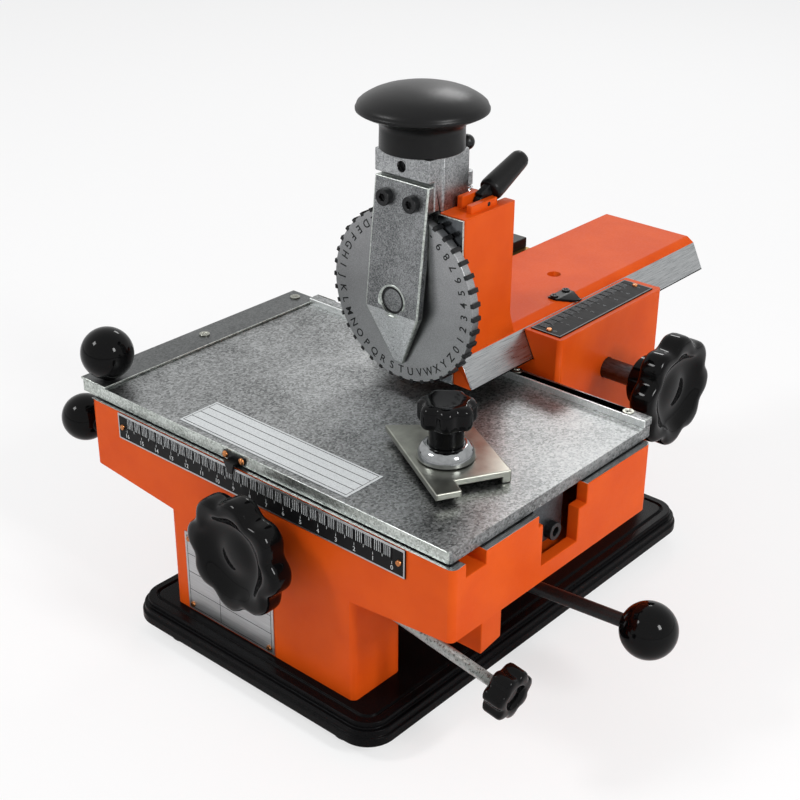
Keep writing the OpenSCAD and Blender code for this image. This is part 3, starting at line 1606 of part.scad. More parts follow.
module disc_axle() {
    color(bright) framed() rod_y_axis([0, axle_front, disc_z], axle_r, axle_l);
}

module type_disc() {
    color(steel) framed() translate([0, disc_front + disc_t, disc_z]) rotate([90, 0, 0]) difference() {
        union() {
            cylinder(r = disc_r - disc_rim_in, h = disc_t);
            cylinder(r = disc_hub_r, h = disc_t + disc_hub_t);
        }
        translate([0, 0, -overrun]) cylinder(r = axle_r + run_gap, h = disc_t + disc_hub_t + 2 * overrun);
        for (i = [0:type_count - 1]) {
            rotate(i * 360 / type_count) translate([disc_r - type_l, -type_w / 2, -overrun])
                cube([type_l, type_w, disc_t + 2 * overrun]);
        }
    }
}

module type_pieces() {
    color(dark_grey) framed() translate([0, disc_front + disc_t, disc_z]) rotate([90, 0, 0])
        for (i = [0:type_count - 1]) {
            rotate(i * 360 / type_count) {
                translate([disc_r - type_l, -type_w / 2, 0]) cube([type_l - type_face_t, type_w, disc_t]);
                translate([disc_r - type_face_t - overrun / 2, -type_w / 4, disc_t * 0.2])
                    cube([type_face_t + overrun / 2, type_w / 2, disc_t * 0.6]);
            }
        }
}

module spacing_screw() {
    color(zinc) framed() at_spacing() rod_z_axis([0, 0, -space_out - space_in], space_r,
        space_in + space_out + space_knob_t / 2);
}

module spacing_knob() {
    color(black_gloss) framed() at_spacing() difference() {
        linear_extrude(height = space_knob_t)
            lobed(space_knob_r, space_lobes, knob_root_share, knob_lobe_share);
        rod_z_axis([0, 0, space_knob_t - space_dish_d], space_knob_r / 2, space_dish_d + overrun);
        rod_z_axis([0, 0, -overrun], space_r + fit_gap, space_knob_t / 2 + overrun);
    }
}

module at_lever() {
    translate([lever_x, lever_y, lever_z]) rotate(lever_rest) children();
}

module release_lever() {
    color(black_matt) framed() at_lever() difference() {
        union() {
            rod_z_axis([0, 0, -lever_boss_h / 2], lever_boss_r, lever_boss_h - slide_gap);
            rod_x_axis([0, 0, 0], lever_rod_r, lever_l);
        }
        rod_z_axis([0, 0, -lever_boss_h], pivot_r + run_gap, 2 * lever_boss_h);
    }
}

module release_lever_ball() {
    color(black_gloss) framed() at_lever() translate([lever_l, 0, 0]) rotate([0, 90, 0])
        ball_grip(lever_grip_r, lever_rod_r, lever_grip_r);
}

module push_rod() {
    color(black_gloss) framed() translate([-bed_w / 2 - push_out, push_y, push_z])
        rotate([0, 90, 0]) {
            sphere(r = push_grip_r);
            cylinder(r = push_r, h = push_out + push_in);
        }
}

base_plate();
rubber_feet();
foot_screws();
bed_casting();
column_casting();
casting_bolts();
front_scale_plate();
column_scale_plate();
blank_plate();
plate_rivets();
rear_guide_rod();
shaft_bushes();
gib_strip();
gib_cover();
gib_screws();
table_plate();
left_strip();
back_fence();
strip_screws();
front_guide_bar();
bearing_block();
bearing_bush();
rack_carrier();
table_rack();
carriage_end_screw();
table_pointer();
table_pointer_screws();
instruction_plate();
rear_clip();
table_ball();
clamp_stud();
clamp_plate();
dome_washer();
clamp_knob();
front_shaft();
table_pinion();
front_handwheel();
side_shaft();
arm_pinion();
side_handwheel();
arm_casting();
arm_rack();
arm_pointer();
arm_screws();
slide_cover_sheet();
clamp_lever();
spring_rod();
return_spring();
head_block();
pointer_plate();
plate_screws();
mushroom_knob();
disc_axle();
type_disc();
type_pieces();
spacing_screw();
spacing_knob();
release_lever();
release_lever_ball();
push_rod();
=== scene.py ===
import json
import math

import bmesh
import bpy
from mathutils import Matrix, Vector


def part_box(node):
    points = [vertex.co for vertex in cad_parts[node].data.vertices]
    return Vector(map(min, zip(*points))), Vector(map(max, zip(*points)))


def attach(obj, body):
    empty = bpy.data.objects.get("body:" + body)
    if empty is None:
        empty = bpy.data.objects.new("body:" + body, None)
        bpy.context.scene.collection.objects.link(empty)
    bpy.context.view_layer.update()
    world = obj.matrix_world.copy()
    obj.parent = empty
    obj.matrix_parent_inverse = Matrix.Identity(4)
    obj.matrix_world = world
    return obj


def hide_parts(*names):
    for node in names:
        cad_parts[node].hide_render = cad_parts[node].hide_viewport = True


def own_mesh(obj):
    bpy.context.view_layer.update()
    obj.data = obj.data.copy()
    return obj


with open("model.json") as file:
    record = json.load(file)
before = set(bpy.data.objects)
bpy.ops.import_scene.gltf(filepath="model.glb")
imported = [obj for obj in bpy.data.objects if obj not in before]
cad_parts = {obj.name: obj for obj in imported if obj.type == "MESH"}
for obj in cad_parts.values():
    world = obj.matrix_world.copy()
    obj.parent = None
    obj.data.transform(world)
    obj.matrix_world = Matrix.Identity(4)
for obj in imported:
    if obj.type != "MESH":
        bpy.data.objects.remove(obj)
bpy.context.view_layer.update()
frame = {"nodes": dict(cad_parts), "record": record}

scene = bpy.context.scene
nodes = frame["nodes"]
print("stage: frame loaded,", len(nodes), "nodes")


def mm(*lengths):
    return tuple(v / 1000 for v in lengths)


def linear(code):  # sRGB hex to linear colour
    parts = [int(code[i:i + 2], 16) / 255 for i in (1, 3, 5)]
    return tuple(c / 12.92 if c <= 0.04045 else ((c + 0.055) / 1.055) ** 2.4 for c in parts) + (1,)


def addNode(tree, kind, settings=None, links=None):
    made = tree.nodes.new(kind)
    for name, value in (settings or {}).items():
        if isinstance(name, int) or name in made.inputs:
            made.inputs[name].default_value = value
        else:
            setattr(made, name, value)
    for name, source in (links or {}).items():
        tree.links.new(source, made.inputs[name])
    return made


def startMaterial(name):
    material = bpy.data.materials.new(name)
    material.use_nodes = True
    tree = material.node_tree
    tree.nodes.clear()
    place = addNode(tree, "ShaderNodeTexCoord").outputs["Object"]
    return material, tree, place


def endMaterial(tree, shader):
    addNode(tree, "ShaderNodeOutputMaterial", links={"Surface": shader.outputs[0]})


def deselectAll():
    if bpy.context.object and bpy.context.object.mode != "OBJECT":
        bpy.ops.object.mode_set(mode="OBJECT")
    bpy.ops.object.select_all(action="DESELECT")


def makeActive(obj):
    deselectAll()
    obj.select_set(True)
    bpy.context.view_layer.objects.active = obj


def settle(obj):  # places the mesh where the object stands, and puts the object at the origin
    makeActive(obj)
    bpy.ops.object.transform_apply(location=True, rotation=True, scale=True)


def finishPiece(obj, name, body, material, replaced=()):
    obj.name = name
    obj.data.name = name
    obj.data.materials.clear()
    obj.data.materials.append(material)
    settle(obj)
    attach(obj, body)
    if replaced:
        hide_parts(*replaced)
    return obj


def applyModifier(obj, kind, settings):
    makeActive(obj)
    modifier = obj.modifiers.new(kind.lower(), kind)
    for name, value in settings.items():
        setattr(modifier, name, value)
    bpy.ops.object.modifier_apply(modifier=modifier.name)


def noise(tree, place, scale, detail, roughness=0.5):
    return addNode(tree, "ShaderNodeTexNoise", {"Scale": scale, "Detail": detail, "Roughness": roughness},
                   {"Vector": place}).outputs["Fac"]


def mixed(tree, share, first, second):
    return addNode(tree, "ShaderNodeMix", {"data_type": "FLOAT", "Factor": share},
                   {2: first, 3: second}).outputs[0]


def toneRamp(tree, factor, positions, codes):
    ramp = addNode(tree, "ShaderNodeValToRGB", links={"Fac": factor})
    for element, position, code in zip(ramp.color_ramp.elements, positions, codes):
        element.position = position
        element.color = linear(code)
    return ramp.outputs["Color"]


def glossRange(tree, factor, limits, roughness):
    settings = {"From Min": limits[0], "From Max": limits[1], "To Min": roughness[0], "To Max": roughness[1]}
    return addNode(tree, "ShaderNodeMapRange", settings, {"Value": factor}).outputs["Result"]


def relief(tree, height, strength, depth, under=None):
    links = {"Height": height}
    if under is not None:
        links["Normal"] = under
    return addNode(tree, "ShaderNodeBump", {"Strength": strength, "Distance": depth}, links).outputs["Normal"]


def principled(tree, settings, tone, gloss, normal):
    shader = addNode(tree, "ShaderNodeBsdfPrincipled", settings,
                     {"Base Color": tone, "Roughness": gloss, "Normal": normal})
    endMaterial(tree, shader)


reliefDepth = {"peel": 0.0004, "pigment": 0.0001, "line": 0.00005, "wave": 0.0003, "grit": 0.00008}  # metres


def orangeEnamel():
    # Two-coat enamel on cast iron: a hard orange gloss that follows the slight waves of the casting
    material, tree, place = startMaterial("orangeEnamel")
    waves = noise(tree, place, 45, 3)
    pigment = noise(tree, place, 900, 2, 0.6)
    peel = relief(tree, waves, 0.12, reliefDepth["peel"])
    principled(tree, {"IOR": 1.5, "Specular IOR Level": 0.1},
               toneRamp(tree, waves, (0.3, 0.75), ("#d14b0c", "#dc5612")),
               glossRange(tree, pigment, (0.3, 0.7), (0.38, 0.5)),
               relief(tree, pigment, 0.05, reliefDepth["pigment"], peel))
    return material


def speckledMetal(name, settings):
    # Bare metal with small crystals or a blasted grain: each grain is a little lighter or darker
    material, tree, place = startMaterial(name)
    grainScale = 1000 / settings["grainMm"]
    cells = addNode(tree, "ShaderNodeTexVoronoi", {"Scale": grainScale}, {"Vector": place})
    fine = noise(tree, place, grainScale * 1.6, 4, 0.65)
    cloud = noise(tree, place, 1000 / settings["cloudMm"], 3)
    grain = mixed(tree, 0.3, mixed(tree, 0.5, cells.outputs["Color"], fine), cloud)
    principled(tree, {"Metallic": 1},
               toneRamp(tree, grain, (0.34, 0.66), (settings["dark"], settings["light"])),
               glossRange(tree, grain, (0.25, 0.75), settings["roughness"]),
               relief(tree, grain, settings["bump"], settings["grainMm"] / 5000))
    return material


def turnedMetal(name, settings):
    # Metal cut on a lathe or ground: fine lines along one direction, as the pattern is stretched
    material, tree, place = startMaterial(name)
    stretched = addNode(tree, "ShaderNodeMapping", {"Scale": settings["stretch"]}, {"Vector": place})
    lines = noise(tree, stretched.outputs[0], 1000 / settings["lineMm"], 3, 0.6)
    principled(tree, {"Metallic": settings.get("metallic", 1),
                      "Specular IOR Level": settings.get("shine", 0.5)},
               toneRamp(tree, lines, (0.3, 0.7), (settings["dark"], settings["light"])),
               glossRange(tree, lines, (0.3, 0.7), settings["roughness"]),
               relief(tree, lines, settings["bump"], reliefDepth["line"]))
    return material


def mouldedPlastic(name, settings):
    # Moulded resin or paint: even colour, with the faint waves and dust that catch a highlight
    material, tree, place = startMaterial(name)
    waves = noise(tree, place, 1000 / settings["waveMm"], 2)
    grit = noise(tree, place, 1000 / settings["gritMm"], 3, 0.7)
    wavy = relief(tree, waves, settings["wave"], reliefDepth["wave"])
    principled(tree, {"IOR": settings["ior"], "Specular IOR Level": settings["shine"]},
               toneRamp(tree, grit, (0.35, 0.7), (settings["dark"], settings["light"])),
               glossRange(tree, grit, (0.3, 0.7), settings["roughness"]),
               relief(tree, grit, settings["grit"], reliefDepth["grit"], wavy))
    return material


speckledKinds = {
    "galvanisedSteel": {
        "grainMm": 0.85, "cloudMm": 30, "dark": "#4f5151", "light": "#a6a8a8",
        "roughness": (0.28, 0.48), "bump": 0.4},
    "galvanisedStrip": {
        "grainMm": 0.7, "cloudMm": 25, "dark": "#444646", "light": "#6f7171", "roughness": (0.36, 0.55),
        "bump": 0.3},
    "satinSteel": {
        "grainMm": 0.3, "cloudMm": 20, "dark": "#88898a", "light": "#a2a3a4", "roughness": (0.32, 0.4),
        "bump": 0.06},
    # lighter steel: painted light on the pointer plate's bent tip
    "tipSteel": {
        "grainMm": 0.45, "cloudMm": 20, "dark": "#9c9e9f", "light": "#d6d8d9", "roughness": (0.26, 0.4),
        "bump": 0.2},
    # near-white zinc: a painted reflection of the lamps on the fence's front
    "whiteZinc": {
        "grainMm": 0.6, "cloudMm": 30, "dark": "#d9dddc", "light": "#f4f6f5", "roughness": (0.3, 0.42),
        "bump": 0.15},
    "blastedPlate": {
        "grainMm": 0.5, "cloudMm": 14, "dark": "#545657", "light": "#9a9c9d", "roughness": (0.3, 0.46),
        "bump": 0.4},
    # lighter zinc: a painted highlight on edges and chamfers that look toward the lamps
    "brightZinc": {
        "grainMm": 0.8, "cloudMm": 12, "dark": "#8f958f", "light": "#d2d7d2", "roughness": (0.25, 0.42),
        "bump": 0.3},
    "blastedSteel": {
        "grainMm": 0.6, "cloudMm": 18, "dark": "#747677", "light": "#b6b8b9", "roughness": (0.3, 0.46),
        "bump": 0.35},
}
turnedKinds = {
    "groundSteel": {
        "stretch": (1, 0.05, 1), "lineMm": 0.5, "dark": "#8a8d8e", "light": "#afb1b2",
        "roughness": (0.24, 0.36), "bump": 0.12},
    "polishedSteel": {
        "stretch": (0.2, 0.2, 1), "lineMm": 0.8, "dark": "#b4b7b9", "light": "#d9dbdd",
        "roughness": (0.08, 0.18), "bump": 0.05},
    "zincPlate": {
        "stretch": (0.4, 0.4, 0.4), "lineMm": 0.6, "dark": "#8c8f8c", "light": "#bfc2c0",
        "roughness": (0.22, 0.4), "bump": 0.15},
    "clampSteel": {
        "stretch": (1, 1, 1), "lineMm": 6, "dark": "#8b8c84", "light": "#9fa097",
        "roughness": (0.3, 0.38), "bump": 0.01},
    "coverSteel": {
        "stretch": (1, 1, 0.1), "lineMm": 3, "dark": "#4b4e51", "light": "#5f6366",
        "roughness": (0.14, 0.22), "bump": 0.02},
    "darkSteel": {
        "stretch": (0.2, 1, 1), "lineMm": 0.8, "dark": "#3c3f42", "light": "#5d6164",
        "roughness": (0.3, 0.5), "bump": 0.2},
    "blackOxide": {
        "stretch": (1, 1, 1), "lineMm": 0.4, "dark": "#101112", "light": "#2a2b2c",
        "roughness": (0.25, 0.45), "bump": 0.15, "metallic": 0.6},
    "copperPlate": {
        "stretch": (1, 1, 1), "lineMm": 0.5, "dark": "#8a4f2a", "light": "#c98a58",
        "roughness": (0.2, 0.38), "bump": 0.1},
    "sinteredBronze": {
        "stretch": (1, 1, 1), "lineMm": 0.3, "dark": "#7a5a2c", "light": "#b08a4e",
        "roughness": (0.35, 0.5), "bump": 0.2},
    "anodisedPlate": {
        "stretch": (0.03, 1, 1), "lineMm": 0.35, "dark": "#a2a4a5", "light": "#c0c2c3",
        "roughness": (0.34, 0.48), "bump": 0.08},
    "blackAnodised": {
        "stretch": (0.05, 1, 1), "lineMm": 0.35, "dark": "#0b0b0c", "light": "#141415",
        "roughness": (0.45, 0.6), "bump": 0.06, "metallic": 0, "shine": 0.12},
    "chrome": {
        "stretch": (1, 1, 1), "lineMm": 3, "dark": "#848687", "light": "#9a9c9d",
        "roughness": (0.08, 0.14), "bump": 0.03},
}
mouldedKinds = {
    "blackEnamel": {
        "waveMm": 14, "gritMm": 0.5, "dark": "#060607", "light": "#0d0d0e", "roughness": (0.22, 0.34),
        "wave": 0.1, "grit": 0.12, "ior": 1.5, "shine": 0.05},
    "phenolicGloss": {
        "waveMm": 9, "gritMm": 0.4, "dark": "#050505", "light": "#0b0b0c", "roughness": (0.05, 0.09),
        "wave": 0.06, "grit": 0.015, "ior": 1.5, "shine": 0.11},
    "matBlack": {
        "waveMm": 6, "gritMm": 0.35, "dark": "#0a0a0b", "light": "#131313", "roughness": (0.28, 0.4),
        "wave": 0.1, "grit": 0.2, "ior": 1.48, "shine": 0.2},
    "rubber": {
        "waveMm": 5, "gritMm": 0.4, "dark": "#0f0f0f", "light": "#1d1d1d", "roughness": (0.62, 0.8),
        "wave": 0.1, "grit": 0.3, "ior": 1.45, "shine": 0.2},
    "greyInk": {
        "waveMm": 5, "gritMm": 0.4, "dark": "#55585a", "light": "#6c7072", "roughness": (0.4, 0.55),
        "wave": 0.02, "grit": 0.05, "ior": 1.48, "shine": 0.3},
    "whiteInk": {
        "waveMm": 5, "gritMm": 0.4, "dark": "#b9bdbe", "light": "#dfe2e2", "roughness": (0.4, 0.55),
        "wave": 0.02, "grit": 0.05, "ior": 1.48, "shine": 0.4},
}
finishes = {"orangeEnamel": orangeEnamel()}
makers = ((speckledMetal, speckledKinds), (turnedMetal, turnedKinds), (mouldedPlastic, mouldedKinds))
for make, kinds in makers:
    for name, settings in kinds.items():
        finishes[name] = make(name, settings)
print("stage: finishes made,", len(finishes))

finishOf = {
    "base_plate": "blackEnamel", "rubber_feet": "rubber", "foot_screws": "zincPlate",
    "bed_casting": "orangeEnamel", "column_casting": "orangeEnamel", "casting_bolts": "blackOxide",
    "front_scale_plate": "blackAnodised", "column_scale_plate": "blackAnodised",
    "blank_plate": "anodisedPlate", "plate_rivets": "copperPlate", "rear_guide_rod": "polishedSteel",
    "shaft_bushes": "sinteredBronze", "gib_strip": "sinteredBronze", "gib_cover": "matBlack",
    "gib_screws": "blackOxide",
    "table_plate": "galvanisedSteel", "left_strip": "galvanisedStrip", "back_fence": "galvanisedSteel",
    "strip_screws": "clampSteel", "front_guide_bar": "groundSteel", "bearing_block": "darkSteel",
    "bearing_bush": "sinteredBronze", "rack_carrier": "darkSteel", "table_rack": "groundSteel",
    "carriage_end_screw": "blackOxide", "table_pointer": "matBlack", "table_pointer_screws": "copperPlate",
    "instruction_plate": "whiteInk", "rear_clip": "matBlack", "table_ball": "phenolicGloss",
    "clamp_stud": "zincPlate", "clamp_plate": "clampSteel", "dome_washer": "chrome",
    "clamp_knob": "phenolicGloss", "front_shaft": "polishedSteel", "table_pinion": "groundSteel",
    "front_handwheel": "phenolicGloss", "side_shaft": "darkSteel", "arm_pinion": "groundSteel",
    "side_handwheel": "phenolicGloss", "arm_casting": "orangeEnamel", "arm_rack": "groundSteel",
    "arm_pointer": "matBlack", "arm_screws": "blackOxide", "slide_cover_sheet": "coverSteel",
    "clamp_lever": "matBlack", "spring_rod": "blackOxide", "return_spring": "polishedSteel",
    "head_block": "blastedSteel", "pointer_plate": "blastedPlate", "plate_screws": "blackOxide",
    "mushroom_knob": "matBlack", "disc_axle": "polishedSteel", "type_disc": "satinSteel",
    "type_pieces": "darkSteel", "spacing_screw": "zincPlate", "spacing_knob": "phenolicGloss",
    "release_lever": "blackOxide", "release_lever_ball": "phenolicGloss", "push_rod": "phenolicGloss",
}
for name, finish in finishOf.items():
    for place in nodes[name].material_slots:
        place.material = finishes[finish]
print("stage: finishes on the nodes")

bodyMembers = frame["record"]["behaviour"]["bodies"]
bodyOf = {member: body for body, members in bodyMembers.items() for member in members}
machineMiddle = (6.20464, 136.35)  # of the machine's own axes, in which the lengths below are given


def spot(x, y, z):
    return Vector(mm(x - machineMiddle[0], y - machineMiddle[1], z))


def inMachine(box):
    # The corners of a box in the machine's own axes, in mm
    return [[v * 1000 + m for v, m in zip(corner, (*machineMiddle, 0))] for corner in box]


def offMiddle(point):  # how far a point lies from the machine's middle plane, in metres
    return abs(point.x + machineMiddle[0] / 1000)


def selectEdges(obj, wanted):
    mesh = bmesh.from_edit_mesh(obj.data)
    bpy.context.tool_settings.mesh_select_mode = (False, True, False)
    bpy.ops.mesh.select_all(action="DESELECT")
    found = 0
    for edge in mesh.edges:
        if wanted(edge):
            edge.select = True
            found += 1
    bmesh.update_edit_mesh(obj.data)
    return found


mergeDistance = 0.000004  # metres between corners that are one
flatDegrees = 0.6  # faces that meet at less than this are one face
smoothDegrees = 38


def roundedCopy(name, edgeMm=0.0, segments=2, shortest=0.0, angle=32, keep=None):
    # A copy of a CAD node with its edges broken as a casting's or a filed edge is
    obj = nodes[name].copy()
    obj.data = nodes[name].data.copy()
    scene.collection.objects.link(obj)
    makeActive(obj)
    bpy.ops.object.mode_set(mode="EDIT")
    bpy.ops.mesh.select_all(action="SELECT")
    bpy.ops.mesh.remove_doubles(threshold=mergeDistance)
    bpy.ops.mesh.select_all(action="SELECT")
    bpy.ops.mesh.dissolve_limited(angle_limit=math.radians(flatDegrees))
    if edgeMm:
        limit = math.radians(angle)
        found = selectEdges(obj, lambda edge: (
            len(edge.link_faces) == 2 and edge.calc_length() > shortest / 1000
            and edge.calc_face_angle() > limit
            and not (keep and keep((edge.verts[0].co + edge.verts[1].co) / 2))))
        if found:
            bpy.ops.mesh.bevel(offset=edgeMm / 1000, offset_type="OFFSET", segments=segments, profile=0.5,
                               affect="EDGES", clamp_overlap=False)
    bpy.ops.object.mode_set(mode="OBJECT")
    bpy.ops.object.shade_smooth_by_angle(angle=math.radians(smoothDegrees))
    applyModifier(obj, "WEIGHTED_NORMAL", {"mode": "FACE_AREA", "weight": 100, "keep_sharp": True})
    return finishPiece(obj, name + "_softened", bodyOf[name], finishes[finishOf[name]], (name,))


def turnedShape(profile, around=96, start="NGON"):
    # Rings of a lathe profile, radius and height in mm, along Z
    deselectAll()
    radius, height = profile[0]
    bpy.ops.mesh.primitive_circle_add(vertices=around, radius=radius / 1000, fill_type=start,
                                      location=(0, 0, height / 1000))
    obj = bpy.context.object
    bpy.ops.object.mode_set(mode="EDIT")
    bpy.ops.mesh.select_all(action="SELECT")
    for nextRadius, nextHeight in profile[1:]:
        rise, growth = (nextHeight - height) / 1000, nextRadius / radius
        bpy.ops.mesh.extrude_region_move(TRANSFORM_OT_translate={"value": (0, 0, rise)})
        bpy.ops.transform.resize(value=(growth, growth, 1), center_override=(0, 0, 0))
        radius, height = nextRadius, nextHeight
    bpy.ops.mesh.select_all(action="SELECT")
    bpy.ops.mesh.normals_make_consistent(inside=False)
    bpy.ops.object.mode_set(mode="OBJECT")
    bpy.ops.object.transform_apply(location=True, rotation=True, scale=True)
    return obj


def pressLobes(obj, lobes):
    # Pulls the rim in between its lobes, and leaves the middle round
    for vertex in obj.data.vertices:
        out = math.hypot(vertex.co.x, vertex.co.y) * 1000
        share = min(1, max(0, (out - lobes["from"]) / (lobes["to"] - lobes["from"])))
        share = share * share * (3 - 2 * share)
        turnedBy = math.atan2(vertex.co.y, vertex.co.x) - math.radians(lobes["phase"])
        valley = ((1 - math.cos(lobes["count"] * turnedBy)) / 2) ** lobes["power"]
        vertex.co.x *= 1 - lobes["depth"] * valley * share
        vertex.co.y *= 1 - lobes["depth"] * valley * share


def smooth(obj, degrees=smoothDegrees):
    makeActive(obj)
    bpy.ops.object.shade_smooth_by_angle(angle=math.radians(degrees))
    applyModifier(obj, "WEIGHTED_NORMAL", {"mode": "FACE_AREA", "weight": 60, "keep_sharp": True})


def stand(obj, place, turn=(0, 0, 0)):
    obj.location = place
    obj.rotation_euler = tuple(math.radians(v) for v in turn)
    settle(obj)


def joinAll(parts):
    deselectAll()
    for part in parts:
        part.select_set(True)
    bpy.context.view_layer.objects.active = parts[0]
    if len(parts) > 1:
        bpy.ops.object.join()
    return bpy.context.view_layer.objects.active


def bar(low, high):
    # A thin raised bar from one corner to the other, in the machine's own axes
    deselectAll()
    bpy.ops.mesh.primitive_cube_add(size=1, location=(spot(*low) + spot(*high)) / 2)
    obj = bpy.context.object
    obj.scale = [abs(b - a) / 1000 for a, b in zip(low, high)]
    bpy.ops.object.transform_apply(location=True, rotation=True, scale=True)
    return obj


printDepth = 0.12  # mm, half of it inside the plate


def printed(text, sizeMm, boldMm=0.0):
    deselectAll()
    bpy.ops.object.text_add(location=(0, 0, 0))
    obj = bpy.context.object
    obj.data.body = text
    obj.data.size = sizeMm / 1000
    obj.data.align_x = "CENTER"
    obj.data.align_y = "CENTER"
    obj.data.extrude = printDepth / 2000
    obj.data.offset = boldMm / 1000
    obj.data.resolution_u = 3
    bpy.ops.object.convert(target="MESH")
    return bpy.context.object


# Where edges stay sharp, in metres
sharp = {"bedAbove": 0.106, "bedBefore": -0.135, "ledge": (0.1335, 0.1356), "ledgeOutside": 0.0205,
         "slots": (0.199, 0.2003), "slotsBefore": 0.0232}


def bedEdge(middle):
    # The top edge under the table is machined sharp
    return middle.z > sharp["bedAbove"] and middle.y < sharp["bedBefore"]


def armLedge(middle):
    # The narrow ledge of the arm's band, and the slots in the upright's top, stay sharp
    return (sharp["ledge"][0] < middle.z < sharp["ledge"][1] and offMiddle(middle) > sharp["ledgeOutside"]
            or sharp["slots"][0] < middle.z < sharp["slots"][1] and middle.x < sharp["slotsBefore"])


# Castings, plates and machined blocks with broken edges
edgeBreaks = {
    "base_plate": {"edgeMm": 0.6, "segments": 3, "shortest": 0.4},
    "bed_casting": {"edgeMm": 0.5, "segments": 3, "shortest": 2.5, "keep": bedEdge},
    "column_casting": {"edgeMm": 0.7, "segments": 3, "shortest": 2.5},
    "arm_casting": {"edgeMm": 0.6, "segments": 3, "shortest": 2.5, "keep": armLedge},
    "table_plate": {"edgeMm": 0.4, "segments": 2, "shortest": 2},
    "left_strip": {"edgeMm": 0.25, "segments": 2, "shortest": 2},
    "back_fence": {"edgeMm": 0.35, "segments": 2, "shortest": 2},
    "gib_cover": {"edgeMm": 0.6, "segments": 2},
    "front_guide_bar": {"edgeMm": 0.5, "segments": 2},
    "rack_carrier": {"edgeMm": 0.5, "segments": 2, "shortest": 3},
    "bearing_block": {"edgeMm": 0.4, "segments": 2, "shortest": 3},
    "clamp_plate": {"edgeMm": 0.6, "segments": 2, "shortest": 2},
    "head_block": {"edgeMm": 0.55, "segments": 2, "shortest": 2},
    "pointer_plate": {"edgeMm": 0.75, "segments": 2, "shortest": 1.5},
    "slide_cover_sheet": {"edgeMm": 0.15, "segments": 2, "shortest": 2},
    "rear_clip": {"edgeMm": 0.5, "segments": 3, "shortest": 1.5},
    "arm_pointer": {"edgeMm": 0.15, "segments": 2, "shortest": 1},
    "casting_bolts": {"edgeMm": 0.25, "segments": 2, "angle": 60},
    "plate_screws": {"edgeMm": 0.35, "segments": 2, "angle": 60},
    "strip_screws": {"edgeMm": 0.12, "segments": 1, "angle": 60},
    "arm_screws": {"edgeMm": 0.12, "segments": 1, "angle": 60},
    "carriage_end_screw": {"edgeMm": 0.3, "segments": 2, "angle": 60},
    "gib_screws": {"edgeMm": 0.2, "segments": 2, "angle": 50},
    "front_scale_plate": {"edgeMm": 0.1, "segments": 1, "shortest": 3},
    "column_scale_plate": {"edgeMm": 0.1, "segments": 1, "shortest": 3},
    "blank_plate": {"edgeMm": 0.12, "segments": 1, "shortest": 3},
    "instruction_plate": {"edgeMm": 0.1, "segments": 1, "shortest": 3},
    "rubber_feet": {"edgeMm": 0.6, "segments": 2, "angle": 50},
    "front_shaft": {"edgeMm": 0.4, "segments": 2, "angle": 60},
    "side_shaft": {"edgeMm": 0.4, "segments": 2, "angle": 60},
    "rear_guide_rod": {"edgeMm": 0.5, "segments": 2, "angle": 60},
    "clamp_stud": {"edgeMm": 0.4, "segments": 2, "angle": 60},
    "release_lever": {}, "plate_rivets": {}, "release_lever_ball": {}, "table_ball": {}, "push_rod": {},
    "spring_rod": {}, "return_spring": {}, "foot_screws": {}, "shaft_bushes": {}, "gib_strip": {},
    "bearing_bush": {}, "table_rack": {}, "arm_rack": {}, "table_pinion": {}, "arm_pinion": {},
}
softened = {name: roundedCopy(name, **settings) for name, settings in edgeBreaks.items()}
print("stage: broken edges,", len(softened), "pieces")


def bareFaces(obj, finish, wanted):
    # Gives the chosen faces their own finish: faces left unpainted, and faces painted lighter as a highlight
    obj.data.materials.append(finishes[finish])
    count = 0
    for face in obj.data.polygons:
        if wanted(face):
            face.material_index = len(obj.data.materials) - 1
            count += 1
    print("stage:", finish, "on", count, "faces of", obj.name)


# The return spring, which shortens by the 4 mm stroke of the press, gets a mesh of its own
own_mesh(softened["return_spring"])

# Faces without paint get bare metal, and cut edges that look toward the lamps get a lighter metal as a
# painted
# highlight: each finish goes on the faces that lie at the given height or look the given way
armBand = 0.13445  # height where the arm's paint stops
armFlank = 0.018  # distance from the middle plane outside which the arm's foot is bare
bedTop = 0.10625  # height above which the bed is machined
plateBend = 0.1528  # height of the pointer plate's bend, under which its tip is brighter
bareFaces(softened["arm_casting"], "groundSteel", lambda face: face.center.z < armBand and (
    offMiddle(face.center) > armFlank or face.normal.z < -0.5))
bareFaces(softened["bed_casting"], "groundSteel", lambda face: face.center.z > bedTop and face.normal.z > 0.9)
bareFaces(softened["table_plate"], "brightZinc", lambda face: -0.9 < face.normal.z < 0.97
          and face.normal.x < 0.7)
bareFaces(softened["back_fence"], "brightZinc", lambda face: face.normal.z < 0.97 and face.normal.x < 0.7)
# The fence's front faces get near-white zinc, a painted reflection of the lamps
bareFaces(softened["back_fence"], "whiteZinc", lambda face: face.normal.y < -0.3)
bareFaces(softened["left_strip"], "brightZinc", lambda face: 0.2 < face.normal.x or face.normal.y < -0.2)
# The pointer plate's tip under the bend gets a lighter steel, painted light for the light its bent face
# catches
bareFaces(softened["pointer_plate"], "tipSteel", lambda face: face.center.z < plateBend)
bareFaces(softened["pointer_plate"], "brightZinc", lambda face: face.normal.x < 0.97 and (
    abs(face.normal.x) > 0.2 or face.normal.z > 0.2))
bareFaces(softened["slide_cover_sheet"], "brightZinc", lambda face: face.normal.y > -0.9
          or face.center.z < armBand)

